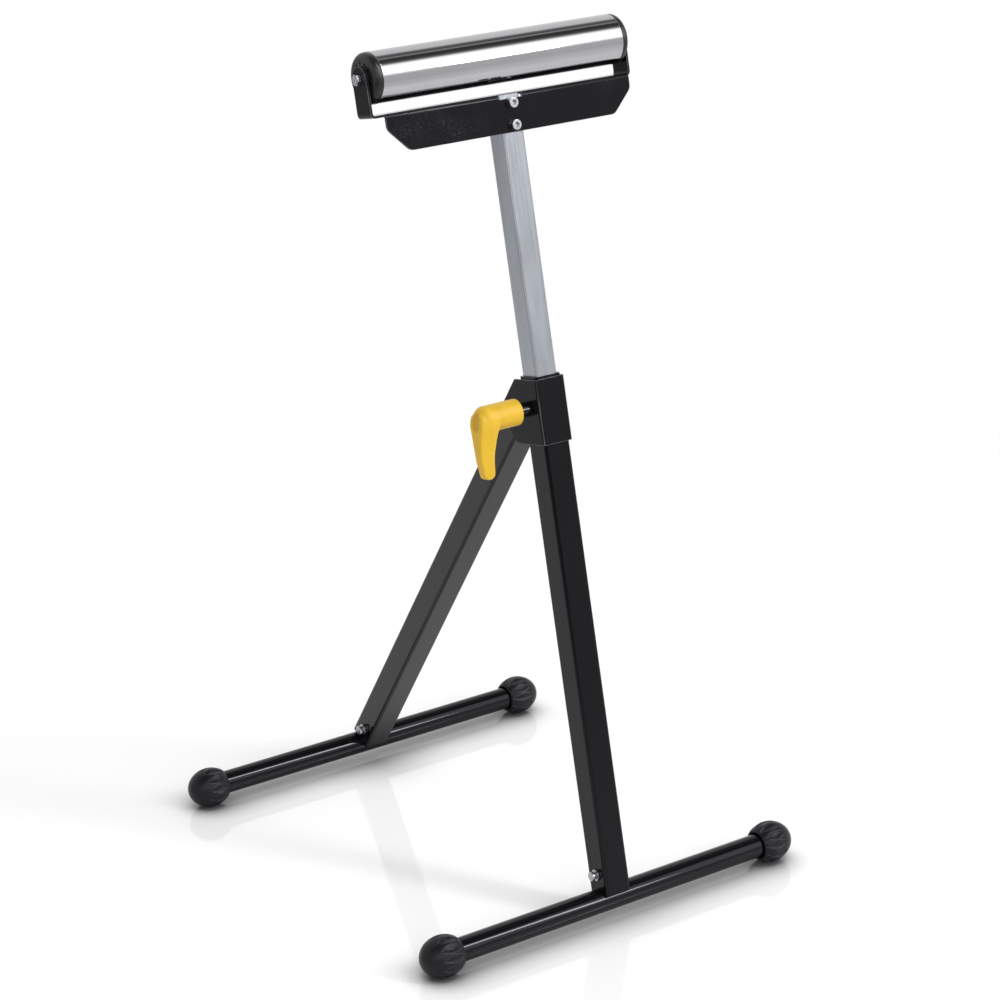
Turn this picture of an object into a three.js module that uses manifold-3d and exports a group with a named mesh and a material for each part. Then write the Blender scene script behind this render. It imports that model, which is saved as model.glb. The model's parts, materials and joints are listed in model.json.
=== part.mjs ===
// Folding roller stand: two legs hinged at a sheet collar, each on a round foot bar with rubber end caps,
// a square mast that slides in the front leg and is held by a lever screw, and a free roller on top.
// Millimetres, +Z up. The origin is on the floor, in the middle of the four feet, and -Y is the front.
import * as THREE from "three";
import { mergeVertices } from "three/addons/utils/BufferGeometryUtils.js";
import Module from "manifold-3d";

const wasm = await Module();
wasm.setup();

// Stance
const barSpacing = 466;
const barHeight = 21.3;
const frontLean = THREE.MathUtils.degToRad(12.3);

// Clearances: between pieces that touch, round a fastener or spindle in its hole, and at the hinge stop
const seatGap = 0.3;
const holeGap = 0.3;
const stopGap = 0.3;

// Mast, a square tube inside the front leg
const mastWidth = 25;
const mastWall = 1.5;
const mastCorner = 2.5;
const mastBottom = 292;
const mastTabHeight = 2;
const mastTabWall = 2;
const mastPlay = 1;
const plugFlange = 6;
const plugSpigot = 14;

// Legs, measured along the leg from the foot bar's axis. Both are one tube, which the mast slides in.
const legWall = 1.5;
const legCorner = 3.5;
const frontLegLength = 541.5;
const frontLegStart = 6;
const rearLegStart = 10;

// Foot bars, their caps and the stub that joins a bar to its leg
const barRadius = 12.5;
const barWall = 1.5;
const standWidth = 462;
const capLength = 40;
const capBallReach = 25;
const capFlatLength = 4;
const capEndWall = 9;
const capMouthLip = 1.8;
const capMouthDepth = 5;
const stubWall = 2.5;
const stubSetback = 2;
const stubTop = 46;
const footBoltUp = 27.5;

// Hinge collar: a bent sheet round the front leg, whose cheeks reach back round the rear leg's end
const collarSheet = 2;
const collarBottom = 473.5;
const collarTop = 539;
const collarCorner = 3.3;
const cheekTopBack = 21;
const cheekBottomBack = 31;
const cheekNose = 17;
const cheekCorner = 5;
const pivotUp = 504;
const pivotBack = 33;
const bushRadius = 6;
const rearLegTip = 20;
const tipRadius = 16.6;

// Roller bracket: a plate on the mast's front, bent back into a strap whose ends turn up as ears.
// The strap and the roller sit a little to the left of the mast.
const bracketSheet = 2.5;
const strapUnderside = 815.5;
const strapWidth = 25;
const strapReach = 151.5;
const headShift = -6.5;
const earBend = 5;
const plateReach = 142.5;
const plateBottom = 780.5;
const plateChamfer = 22.5;
const plateBend = 4;
const plateCorner = 4;
const notchPlay = 0.8;
const notchBottom = 813.3;
const screwSpots = { upper: 809, lower: 787.5 };

// Roller, its end caps, bearings and axle
const rollerUp = 853;
const rollerRadius = 25;
const rollerWall = 2;
const rollerLength = 279;
const endCapBulge = 7.8;
const endCapSpigot = 20;
const endCapRim = 2;
const endCapRounding = 5;
const endCapHoles = 12;
const endCapHoleRing = 17.3;
const endCapHoleRadius = 1.4;
const endCapHoleDepth = 4;
const bearingRadius = 11;
const bearingWidth = 7;
const bearingInset = 0.7;
const axleRadius = 4;
const spacerRadius = 6;

// Lever screw on the collar's left cheek
const clampUp = 510.2;
const bossRadius = 7.5;
const bossLength = 13.2;
const studRadius = 4;
const padRadius = 5;
const padThickness = 2.2;
const leverBossGap = 2.4;
const hubRadius = 13.4;
const hubLength = 49.5;
const studInHub = 32;
const hubRounding = 6;
const leverDrop = 58.6;
const leverDepth = 17.4;
const leverTipDepth = 13.4;
const leverTopThickness = 20;
const leverTipThickness = 11;
const leverTipInset = 1;
const leverBow = 2.5;

// Fasteners: thread radius, head or nut height, and width across flats
const boltSix = { radius: 3, headRadius: 5.2, headHeight: 5.2, socketFlats: 5, socketDepth: 3 };
const nutSix = { radius: boltSix.radius, flats: 10, height: 5 };
const axleNut = { radius: 3, flats: 10, height: 4.2 };
const boltEight = { radius: 4, flats: 13, height: 5.3 };
const nutEight = { radius: boltEight.radius, flats: 13, height: 8 };
const washerSix = { radius: 6, thickness: 1.4 };
const boltTail = 1.5;

// Facets of round pieces
const roundSides = 32;
const capSides = 32;
const rollerSides = 48;
const boltSides = 20;
const cornerSteps = 4;

// Places worked out from the driving sizes
const mastHalf = mastWidth / 2;
const legInside = mastHalf + mastPlay;
const legHalf = legInside + legWall;
const legWidth = 2 * legHalf;
const cheekInside = legHalf + seatGap;
const cheekOutside = cheekInside + collarSheet;
const barEnd = standWidth / 2 - capEndWall - seatGap;
const capStart = standWidth / 2 - capLength;
const strapTop = strapUnderside + bracketSheet;
const plateBack = -mastHalf - seatGap;
const plateFront = plateBack - bracketSheet;
const strapBack = plateFront + strapWidth;
const rollerBack = plateFront + strapWidth / 2;
const mastTop = strapUnderside - seatGap;
const earInside = strapReach - bracketSheet;
const earRadius = strapWidth / 2;
const notchReach = mastHalf + notchPlay;
const rollerHalf = rollerLength / 2;
const endCapFace = rollerHalf + endCapBulge;
const farReach = 400;

const pivot = new THREE.Vector3(
  0,
  -barSpacing / 2 + pivotUp * Math.sin(frontLean) + pivotBack * Math.cos(frontLean),
  barHeight + pivotUp * Math.cos(frontLean) - pivotBack * Math.sin(frontLean),
);
const rearBarDrop = pivot.z - barHeight;
const rearBarOut = barSpacing / 2 - pivot.y;
const rearLean = Math.atan2(rearBarOut, rearBarDrop);
const rearLegLength = Math.hypot(rearBarOut, rearBarDrop);
const openAngle = frontLean + rearLean;

// Materials
const finish = (color, roughness, metalness) =>
  new THREE.MeshStandardMaterial({ color, roughness, metalness });
const blackPaint = finish(0x151517, 0.3, 0.1);
const chrome = finish(0xd8dadd, 0.06, 1);
const zinc = finish(0xaeb4bc, 0.38, 0.9);
const steel = finish(0xb9bcc0, 0.35, 1);
const yellowPlastic = finish(0xe8b422, 0.4, 0);
const blackPlastic = finish(0x18181a, 0.45, 0);
const blackRubber = finish(0x1c1c1e, 0.7, 0);

// Solids

// A closed three.js geometry as a manifold solid.
function solid(geometry) {
  const bare = geometry.clone();
  bare.deleteAttribute("normal");
  bare.deleteAttribute("uv");
  const merged = mergeVertices(bare, 1e-4);
  return new wasm.Manifold(
    new wasm.Mesh({
      numProp: 3,
      vertProperties: merged.attributes.position.array,
      triVerts: new Uint32Array(merged.index.array),
    }),
  );
}

// A manifold solid as a three.js geometry.
function geometryOf(made) {
  const mesh = made.getMesh();
  const geometry = new THREE.BufferGeometry();
  geometry.setAttribute("position", new THREE.BufferAttribute(mesh.vertProperties, 3));
  geometry.setIndex(new THREE.BufferAttribute(mesh.triVerts, 1));
  const faceted = geometry.toNonIndexed();
  faceted.computeVertexNormals();
  return faceted;
}

function cut(body, ...tools) {
  return geometryOf(tools.reduce((left, tool) => left.subtract(solid(tool)), solid(body)));
}

function join(...bodies) {
  return geometryOf(bodies.map(solid).reduce((whole, next) => whole.add(next)));
}

function common(body, ...tools) {
  return geometryOf(tools.reduce((left, tool) => left.intersect(solid(tool)), solid(body)));
}

// Shapes drawn across (back, up) and made solid along x, or across (x, up) and made solid towards the back.
const sideBasis = new THREE.Matrix4().makeBasis(
  new THREE.Vector3(0, 1, 0),
  new THREE.Vector3(0, 0, 1),
  new THREE.Vector3(1, 0, 0),
);

function extrude(shape, from, to) {
  const options = { depth: to - from, bevelEnabled: false, curveSegments: cornerSteps };
  return new THREE.ExtrudeGeometry(shape, options).translate(0, 0, from);
}

function extrudeAlongX(shape, from, to) {
  return extrude(shape, from, to).applyMatrix4(sideBasis);
}

function extrudeToBack(shape, from, to) {
  return extrude(shape, -to, -from).rotateX(Math.PI / 2);
}

function block(x, back, up) {
  const size = [x, back, up].map(([low, high]) => high - low);
  const middle = [x, back, up].map(([low, high]) => (low + high) / 2);
  return new THREE.BoxGeometry(...size).translate(...middle);
}

// A turned piece along x, from (place along x, radius) points in either order round the outline.
function turned(outline, sides) {
  const points = outline.map(([along, radius]) => new THREE.Vector2(radius, along));
  if (THREE.ShapeUtils.area(points) < 0) points.reverse();
  points.push(points[0].clone());
  const flatUp = Math.PI / sides;
  return new THREE.LatheGeometry(points, sides, flatUp).rotateZ(-Math.PI / 2);
}

function rod(radius, from, to, sides = boltSides) {
  return turned([[from, 0], [from, radius], [to, radius], [to, 0]], sides);
}

function ring(outer, inner, from, to, sides = boltSides) {
  return turned([[from, inner], [from, outer], [to, outer], [to, inner]], sides);
}

function hexRod(flats, from, to) {
  const corner = flats / Math.sqrt(3);
  return new THREE.CylinderGeometry(corner, corner, to - from, 6)
    .rotateZ(-Math.PI / 2)
    .translate((from + to) / 2, 0, 0);
}

function roundedRectangle(width, depth, corner) {
  const x = width / 2;
  const y = depth / 2;
  const shape = new THREE.Shape();
  shape.absarc(x - corner, y - corner, corner, 0, Math.PI / 2);
  shape.absarc(corner - x, y - corner, corner, Math.PI / 2, Math.PI);
  shape.absarc(corner - x, corner - y, corner, Math.PI, 1.5 * Math.PI);
  shape.absarc(x - corner, corner - y, corner, 1.5 * Math.PI, 2 * Math.PI);
  shape.closePath();
  return shape;
}

function squareTube(width, corner, wall, from, to) {
  const shape = roundedRectangle(width, width, corner);
  const inside = width - 2 * wall;
  shape.holes.push(roundedRectangle(inside, inside, Math.max(corner - wall, 0.4)));
  return extrude(shape, from, to);
}

// A closed outline through corners [x, y, radius], each rounded by its own radius.
function roundedOutline(corners) {
  const shape = new THREE.Shape();
  corners.forEach(([x, y, radius], i) => {
    const here = new THREE.Vector2(x, y);
    const before = new THREE.Vector2(...corners.at(i - 1).slice(0, 2));
    const after = new THREE.Vector2(...corners[(i + 1) % corners.length].slice(0, 2));
    const start = before.sub(here).setLength(radius).add(here);
    const end = after.sub(here).setLength(radius).add(here);
    if (i === 0) shape.moveTo(start.x, start.y);
    else shape.lineTo(start.x, start.y);
    if (radius > 0) shape.quadraticCurveTo(x, y, end.x, end.y);
  });
  shape.closePath();
  return shape;
}

// Where a line from a point touches a circle, on its left or right as seen from the point.
function tangentPoint(from, centre, radius, side) {
  const toCentre = new THREE.Vector2().subVectors(centre, from);
  const turn = Math.acos(radius / toCentre.length());
  const angle = toCentre.negate().angle() + side * turn;
  return new THREE.Vector2(Math.cos(angle), Math.sin(angle)).multiplyScalar(radius).add(centre);
}

// Fasteners, along x with the underside of the head or the face of the nut at x = 0

function capScrew(size, length) {
  const body = turned(
    [
      [-size.headHeight, 0],
      [-size.headHeight, size.headRadius - 0.6],
      [0.6 - size.headHeight, size.headRadius],
      [0, size.headRadius],
      [0, size.radius],
      [length, size.radius],
      [length, 0],
    ],
    boltSides,
  );
  const socketBottom = size.socketDepth - size.headHeight;
  return cut(body, hexRod(size.socketFlats, -size.headHeight - 1, socketBottom));
}

function hexBolt(size, length) {
  return join(hexRod(size.flats, -size.height, 0), rod(size.radius, -size.height / 2, length));
}

function nut(size) {
  return cut(hexRod(size.flats, 0, size.height), rod(size.radius + holeGap, -1, size.height + 1));
}

function washer(size, hole) {
  return ring(size.radius, hole + holeGap, 0, size.thickness);
}

// Foot pieces, in a leg's frame: x across, up the leg from the bar's axis

function legTube(start, end) {
  const tube = squareTube(legWidth, legCorner, legWall, start, end);
  const barNotch = rod(barRadius + seatGap, -legWidth, legWidth, roundSides);
  const boltHole = rod(boltSix.radius + holeGap, -legWidth, legWidth).translate(0, 0, footBoltUp);
  return cut(tube, barNotch, boltHole);
}

function barStub(legStart) {
  const width = 2 * (legInside - seatGap);
  const start = legStart + stubSetback;
  const tube = squareTube(width, legCorner - legWall + seatGap, stubWall, start, stubTop);
  const barNotch = rod(barRadius + seatGap, -legWidth, legWidth, roundSides);
  const boltHole = rod(boltSix.radius + holeGap, -legWidth, legWidth).translate(0, 0, footBoltUp);
  return cut(tube, barNotch, boltHole);
}

function footBar() {
  return ring(barRadius, barRadius - barWall, -barEnd, barEnd, roundSides);
}

// An egg-shaped cap pushed on the bar's end, open at its mouth, with a short flat band where it is widest.
function footCap() {
  const top = barHeight / Math.cos(Math.PI / capSides);
  const middle = capLength - capBallReach;
  const bore = barRadius + seatGap;
  const eggPoint = (turn) => [middle + capBallReach * Math.sin(turn), top * Math.cos(turn)];
  const mouthTurn = -Math.asin(middle / capBallReach);
  const bandTurn = Math.asin((1.6 * capFlatLength) / 2 / capBallReach);
  const steps = 5;
  const outer = [];
  for (let i = 0; i <= steps; i++) {
    outer.push(eggPoint(THREE.MathUtils.lerp(mouthTurn, -bandTurn, i / steps)));
  }
  outer.push([middle - capFlatLength / 2, top], [middle + capFlatLength / 2, top]);
  for (let i = 0; i < 2 * steps; i++) {
    outer.push(eggPoint(THREE.MathUtils.lerp(bandTurn, Math.PI / 2, i / (2 * steps))));
  }
  const outline = [
    [capLength - capEndWall, 0],
    [capLength - capEndWall, bore],
    [capMouthDepth, bore],
    [0, outer[0][1] - capMouthLip],
    ...outer,
    [capLength, 0],
  ];
  return turned(outline, capSides).translate(capStart, 0, 0);
}

// Collar and hinge, in the front leg's frame

function hingeCollar() {
  const nose = new THREE.Vector2(pivotBack, pivotUp);
  const low = new THREE.Vector2(cheekBottomBack, collarBottom);
  const high = new THREE.Vector2(cheekTopBack, collarTop);
  const lowTouch = tangentPoint(low, nose, cheekNose, 1);
  const highTouch = tangentPoint(high, nose, cheekNose, -1);
  const side = new THREE.Shape();
  side.moveTo(-cheekOutside, collarBottom);
  side.lineTo(low.x - cheekCorner, low.y);
  const cornerEnd = low.clone().lerp(lowTouch, cheekCorner / low.distanceTo(lowTouch));
  side.quadraticCurveTo(low.x, low.y, cornerEnd.x, cornerEnd.y);
  side.lineTo(lowTouch.x, lowTouch.y);
  const startAngle = lowTouch.clone().sub(nose).angle();
  const endAngle = highTouch.clone().sub(nose).angle();
  side.absarc(nose.x, nose.y, cheekNose, startAngle, endAngle, false);
  side.lineTo(high.x, high.y);
  side.lineTo(-cheekOutside, collarTop);
  side.closePath();
  const reach = pivotBack + 2 * cheekNose;
  const depth = reach + cheekOutside;
  const across = roundedRectangle(2 * cheekOutside, 2 * depth, collarCorner);
  const wrap = extrude(across, collarBottom - 1, collarTop + 1).translate(0, reach, 0);
  const channel = block([-cheekInside, cheekInside], [-cheekInside, farReach], [0, collarTop + 1]);
  const pivotHole = rod(boltEight.radius + holeGap, -farReach, farReach);
  const padHole = rod(padRadius + holeGap, -farReach, 0);
  return cut(
    common(extrudeAlongX(side, -cheekOutside, cheekOutside), wrap),
    channel,
    pivotHole.translate(0, pivotBack, pivotUp),
    padHole.translate(0, 0, clampUp),
  );
}

function frontLegTube() {
  const padHole = rod(padRadius + holeGap, -legWidth, 0).translate(0, 0, clampUp);
  return cut(legTube(frontLegStart, frontLegLength), padHole);
}

// In the rear leg's frame, with the pivot at the origin and the bar below: the tip is cut so that its upper
// part meets the front leg's back as the legs open, and rounded about the pivot where it swings past.
function rearLegTube() {
  const tube = legTube(rearLegStart, rearLegLength + rearLegTip).translate(0, 0, -rearLegLength);
  const stop = pivotBack - legHalf - stopGap;
  const round = Math.min(tipRadius, stop);
  const forward = new THREE.Vector2(-Math.cos(openAngle), Math.sin(openAngle));
  const along = new THREE.Vector2(Math.sin(openAngle), Math.cos(openAngle));
  const touch = forward.clone().multiplyScalar(stop);
  const stopTop = touch.clone().addScaledVector(along, 2 * legWidth);
  const beyond = stopTop.clone().addScaledVector(forward, 2 * legWidth);
  const cleared = new THREE.Shape();
  cleared.absarc(0, 0, round, Math.PI, forward.angle(), true);
  cleared.lineTo(touch.x, touch.y);
  cleared.lineTo(stopTop.x, stopTop.y);
  cleared.lineTo(beyond.x, beyond.y);
  cleared.lineTo(-3 * legWidth, 0);
  cleared.closePath();
  const bushHole = rod(bushRadius + holeGap, -legWidth, legWidth);
  return cut(tube, extrudeAlongX(cleared, -legWidth, legWidth), bushHole);
}

// Mast and roller bracket, in the front leg's frame

function mastTube() {
  const tube = squareTube(mastWidth, mastCorner, mastWall, mastBottom, mastTop + mastTabHeight);
  const behindTab = [mastTabWall - mastHalf, mastWidth];
  const aboveMast = [mastTop, mastTop + 2 * mastTabHeight];
  const holes = Object.values(screwSpots).map((up) =>
    rod(boltSix.radius + holeGap, -mastWidth, mastWidth).rotateZ(Math.PI / 2).translate(0, 0, up),
  );
  return cut(tube, block([-mastWidth, mastWidth], behindTab, aboveMast), ...holes);
}

function mastPlug() {
  const flangeWidth = 2 * (legInside - seatGap);
  const flangeCorner = legCorner - legWall + seatGap;
  const spigotWidth = mastWidth - 2 * mastWall - 2 * seatGap;
  const spigotCorner = Math.max(mastCorner - mastWall, 0.4);
  const flangeTop = mastBottom - seatGap;
  const flange = roundedRectangle(flangeWidth, flangeWidth, flangeCorner);
  const spigot = roundedRectangle(spigotWidth, spigotWidth, spigotCorner);
  return join(
    extrude(flange, flangeTop - plugFlange, flangeTop),
    extrude(spigot, flangeTop - 1, flangeTop + plugSpigot),
  );
}

function rollerBracket() {
  const earTop = rollerUp + earRadius;
  const innerBend = earBend - bracketSheet;
  const channelShape = roundedOutline([
    [-strapReach, earTop, 0],
    [-strapReach, strapUnderside, earBend],
    [strapReach, strapUnderside, earBend],
    [strapReach, earTop, 0],
    [earInside, earTop, 0],
    [earInside, strapTop, innerBend],
    [-earInside, strapTop, innerBend],
    [-earInside, earTop, 0],
  ]);
  const earShape = new THREE.Shape();
  earShape.moveTo(plateFront, strapUnderside - 1);
  earShape.lineTo(strapBack, strapUnderside - 1);
  earShape.lineTo(strapBack, rollerUp);
  earShape.absarc(rollerBack, rollerUp, earRadius, 0, Math.PI);
  earShape.closePath();
  const channel = common(
    extrudeToBack(channelShape, plateFront, strapBack),
    extrudeAlongX(earShape, -strapReach, strapReach),
  ).translate(headShift, 0, 0);
  const bentEdge = block(
    [-plateReach, plateReach],
    [plateFront - 1, plateBack + plateBend],
    [strapUnderside - 1, strapTop + 1],
  );
  const foldShape = roundedOutline([
    [plateFront, plateBottom, 0],
    [plateBack, plateBottom, 0],
    [plateBack, strapUnderside, plateBend - bracketSheet],
    [strapBack, strapUnderside, 0],
    [strapBack, strapTop, 0],
    [plateFront, strapTop, plateBend],
  ]);
  const plateShape = roundedOutline([
    [-plateReach, strapTop + 1, 0],
    [-plateReach, plateBottom + plateChamfer, plateCorner],
    [plateChamfer - plateReach, plateBottom, plateCorner],
    [plateReach - plateChamfer, plateBottom, plateCorner],
    [plateReach, plateBottom + plateChamfer, plateCorner],
    [plateReach, strapTop + 1, 0],
  ]);
  const fold = common(
    extrudeAlongX(foldShape, -plateReach, plateReach),
    extrudeToBack(plateShape, plateFront - 1, strapBack + 1),
  );
  const notch = block(
    [-notchReach, notchReach],
    [plateFront - 1, mastTabWall + seatGap - mastHalf],
    [notchBottom, strapTop + 1],
  );
  const screwHoles = Object.values(screwSpots).map((up) =>
    rod(boltSix.radius + holeGap, -farReach, 0).rotateZ(Math.PI / 2).translate(0, 0, up),
  );
  const axleHole = rod(axleNut.radius + holeGap, -farReach, farReach);
  const sheet = join(cut(channel, bentEdge), fold);
  return cut(sheet, notch, ...screwHoles, axleHole.translate(0, rollerBack, rollerUp));
}

// Roller pieces, about the roller's axis

function rollerTube() {
  return ring(rollerRadius, rollerRadius - rollerWall, -rollerHalf, rollerHalf, rollerSides);
}

function rollerEndCap() {
  const spigot = rollerRadius - rollerWall - seatGap;
  const flange = rollerHalf + seatGap;
  const rim = rollerRadius - seatGap;
  const rimEnd = flange + endCapRim;
  const pocket = endCapFace - bearingWidth - bearingInset - seatGap;
  const steps = 5;
  const outline = [
    [rollerHalf - endCapSpigot, spacerRadius + 1],
    [rollerHalf - endCapSpigot, spigot],
    [flange, spigot],
    [flange, rim],
  ];
  for (let i = 0; i <= steps; i++) {
    const angle = (i / steps) * (Math.PI / 2);
    const along = rimEnd + (endCapFace - rimEnd) * Math.sin(angle);
    outline.push([along, rim - endCapRounding * (1 - Math.cos(angle))]);
  }
  outline.push(
    [endCapFace, bearingRadius + seatGap],
    [pocket, bearingRadius + seatGap],
    [pocket, spacerRadius + 1],
  );
  const holes = Array.from({ length: endCapHoles }, (_, i) =>
    rod(endCapHoleRadius, endCapFace - endCapHoleDepth, endCapFace + 1, 8)
      .translate(0, 0, endCapHoleRing)
      .rotateX(((i + 0.5) / endCapHoles) * 2 * Math.PI),
  );
  return cut(turned(outline, rollerSides), ...holes);
}

function rollerBearing() {
  const outer = endCapFace - bearingInset;
  return ring(bearingRadius, axleRadius + holeGap, outer - bearingWidth, outer, roundSides);
}

function axleSpacer() {
  const from = endCapFace - bearingInset + seatGap;
  return ring(spacerRadius, axleRadius + holeGap, from, earInside - seatGap);
}

function rollerAxle() {
  const shoulder = earInside - seatGap;
  const end = strapReach + seatGap + axleNut.height + 0.8;
  const half = [[shoulder, axleRadius], [shoulder, axleNut.radius], [end, axleNut.radius]];
  const mirrored = half.map(([along, radius]) => [-along, radius]).reverse();
  return turned([[-end, 0], ...mirrored, ...half, [end, 0]], boltSides);
}

// Lever screw, in the front leg's frame about the screw's axis

const bossEnd = -cheekOutside - seatGap - bossLength;
const hubStart = bossEnd - leverBossGap;
const hubEnd = hubStart - hubLength;
const padFace = -mastHalf - seatGap;
const padBack = padFace - padThickness;
const studTip = padBack - seatGap;
const studEnd = hubStart - studInHub;

// A round hub along x with a grip arm hanging from its outer end, narrower towards its round tip.
function leverHandle() {
  const hub = turned(
    [
      [hubStart, 0],
      [hubStart, hubRadius - 1.2],
      [hubStart - 1.2, hubRadius],
      [hubEnd + hubRounding, hubRadius],
      [hubEnd + 0.3 * hubRounding, hubRadius - 0.3 * hubRounding],
      [hubEnd, hubRadius - hubRounding],
      [hubEnd, 0],
    ],
    roundSides,
  );
  const tipRound = leverTipThickness / 2;
  const tipOutside = hubEnd + leverTipInset;
  const tipInside = tipOutside + leverTipThickness;
  const tipUp = tipRound - leverDrop;
  const armShape = new THREE.Shape();
  armShape.moveTo(hubEnd, 0);
  armShape.lineTo(hubEnd + leverTopThickness, 0);
  armShape.lineTo(hubEnd + leverTopThickness, 2 - hubRadius);
  armShape.quadraticCurveTo(tipInside, -leverDrop / 2, tipInside, tipUp);
  armShape.absarc(tipOutside + tipRound, tipUp, tipRound, 0, Math.PI, true);
  armShape.quadraticCurveTo(hubEnd - leverBow, -leverDrop / 2, hubEnd, 0);
  const arm = extrudeToBack(armShape, -leverDepth / 2, leverDepth / 2);
  const taper = new THREE.Shape([
    new THREE.Vector2(-leverDepth / 2, hubRadius),
    new THREE.Vector2(-leverDepth / 2, -hubRadius),
    new THREE.Vector2(-leverTipDepth / 2, -leverDrop - 1),
    new THREE.Vector2(leverTipDepth / 2, -leverDrop - 1),
    new THREE.Vector2(leverDepth / 2, -hubRadius),
    new THREE.Vector2(leverDepth / 2, hubRadius),
  ]);
  const grip = common(arm, extrudeAlongX(taper, hubEnd - leverDepth, 0));
  const bore = rod(studRadius + holeGap, studEnd - seatGap, hubStart + 1);
  return cut(join(hub, grip), bore);
}

// Assembly

function piece(parent, name, geometry, material) {
  const mesh = new THREE.Mesh(geometry, material);
  mesh.name = name;
  parent.add(mesh);
  return mesh;
}

function group(parent) {
  const made = new THREE.Group();
  parent.add(made);
  return made;
}

// Bar, stub, screw and caps at the bottom of a leg, in a frame on the bar's axis.
function addFoot(leg, level, end, legStart) {
  const head = -legHalf - seatGap - washerSix.thickness - seatGap;
  const nutFace = legHalf + seatGap;
  const shank = nutFace + nutSix.height + boltTail - head;
  piece(leg, `${end}_bar_stub`, barStub(legStart), blackPaint);
  const screw = piece(leg, `${end}_foot_screw`, capScrew(boltSix, shank), steel);
  screw.position.set(head, 0, footBoltUp);
  const plate = piece(leg, `${end}_foot_washer`, washer(washerSix, boltSix.radius), steel);
  plate.position.set(head + seatGap, 0, footBoltUp);
  const lock = piece(leg, `${end}_foot_nut`, nut(nutSix), steel);
  lock.position.set(nutFace, 0, footBoltUp);
  piece(level, `${end}_foot_bar`, footBar(), blackPaint);
  piece(level, `${end}_foot_cap_right`, footCap(), blackRubber);
  piece(level, `${end}_foot_cap_left`, footCap(), blackRubber).rotation.z = Math.PI;
}

function addFrontFrame(stand, leg) {
  const level = group(stand);
  level.position.set(0, -barSpacing / 2, barHeight);
  addFoot(leg, level, "front", frontLegStart);
  piece(leg, "front_leg", frontLegTube(), blackPaint);
  piece(leg, "hinge_collar", hingeCollar(), blackPaint);
  const boss = ring(bossRadius, studRadius + holeGap, bossEnd, -cheekOutside - seatGap);
  piece(leg, "clamp_boss", boss, blackPaint).position.z = clampUp;
  const outside = cheekOutside + seatGap;
  const shank = 2 * outside + nutEight.height + boltTail;
  const bolt = piece(leg, "pivot_bolt", hexBolt(boltEight, shank), steel);
  bolt.position.set(-outside, pivotBack, pivotUp);
  const lock = piece(leg, "pivot_nut", nut(nutEight), steel);
  lock.position.set(outside, pivotBack, pivotUp);
}

function addRearLeg(stand) {
  const leg = group(stand);
  leg.position.copy(pivot);
  leg.rotation.x = rearLean;
  piece(leg, "rear_leg", rearLegTube(), blackPaint);
  const bush = ring(bushRadius, boltEight.radius + holeGap, -legHalf, legHalf);
  piece(leg, "pivot_bush", bush, steel);
  const foot = group(leg);
  foot.position.z = -rearLegLength;
  const level = group(stand);
  level.position.set(0, barSpacing / 2, barHeight);
  addFoot(foot, level, "rear", rearLegStart);
}

function addMast(leg) {
  piece(leg, "mast_tube", mastTube(), zinc);
  piece(leg, "mast_plug", mastPlug(), blackPlastic);
  piece(leg, "roller_bracket", rollerBracket(), blackPaint);
  const head = plateFront - seatGap;
  const washerFace = mastHalf + seatGap;
  const nutFace = washerFace + washerSix.thickness + seatGap;
  const shank = nutFace + nutSix.height + boltTail - head;
  for (const [spot, up] of Object.entries(screwSpots)) {
    const through = group(leg);
    through.position.z = up;
    through.rotation.z = Math.PI / 2;
    piece(through, `bracket_screw_${spot}`, capScrew(boltSix, shank), steel).position.x = head;
    const plate = piece(through, `bracket_washer_${spot}`, washer(washerSix, boltSix.radius), steel);
    plate.position.x = washerFace;
    piece(through, `bracket_nut_${spot}`, nut(nutSix), steel).position.x = nutFace;
  }
}

// The roller and its axle lie level, so they are turned back upright from the leaning leg's frame.
function addRoller(leg) {
  const axis = group(leg);
  axis.position.set(headShift, rollerBack, rollerUp);
  axis.rotation.x = frontLean;
  piece(axis, "roller_axle", rollerAxle(), steel);
  piece(axis, "roller_tube", rollerTube(), chrome);
  for (const [side, turn] of [["right", 0], ["left", Math.PI]]) {
    const end = group(axis);
    end.rotation.z = turn;
    piece(end, `roller_end_cap_${side}`, rollerEndCap(), blackPlastic);
    piece(end, `roller_bearing_${side}`, rollerBearing(), steel);
    piece(end, `axle_spacer_${side}`, axleSpacer(), steel);
    piece(end, `axle_nut_${side}`, nut(axleNut), steel).position.x = strapReach + seatGap;
  }
}

function addClamp(leg) {
  const screw = group(leg);
  screw.position.z = clampUp;
  piece(screw, "clamp_pad", rod(padRadius, padBack, padFace), blackPlastic);
  piece(screw, "clamp_stud", rod(studRadius, studEnd, studTip), steel);
  piece(screw, "clamp_lever", leverHandle(), yellowPlastic);
}

const stand = new THREE.Group();
const frontLeg = group(stand);
frontLeg.position.set(0, -barSpacing / 2, barHeight);
frontLeg.rotation.x = -frontLean;
addFrontFrame(stand, frontLeg);
addRearLeg(stand);
addMast(frontLeg);
addRoller(frontLeg);
addClamp(frontLeg);

export default stand;
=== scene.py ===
"""Folding roller stand: painted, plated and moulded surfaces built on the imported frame."""

import json
from math import asin, atan2, ceil, cos, hypot, pi, radians, sin, sqrt, tan

import bmesh
import bpy
from bpy.props import FloatProperty, FloatVectorProperty, IntProperty, PointerProperty
from mathutils import Matrix, Vector


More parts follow.
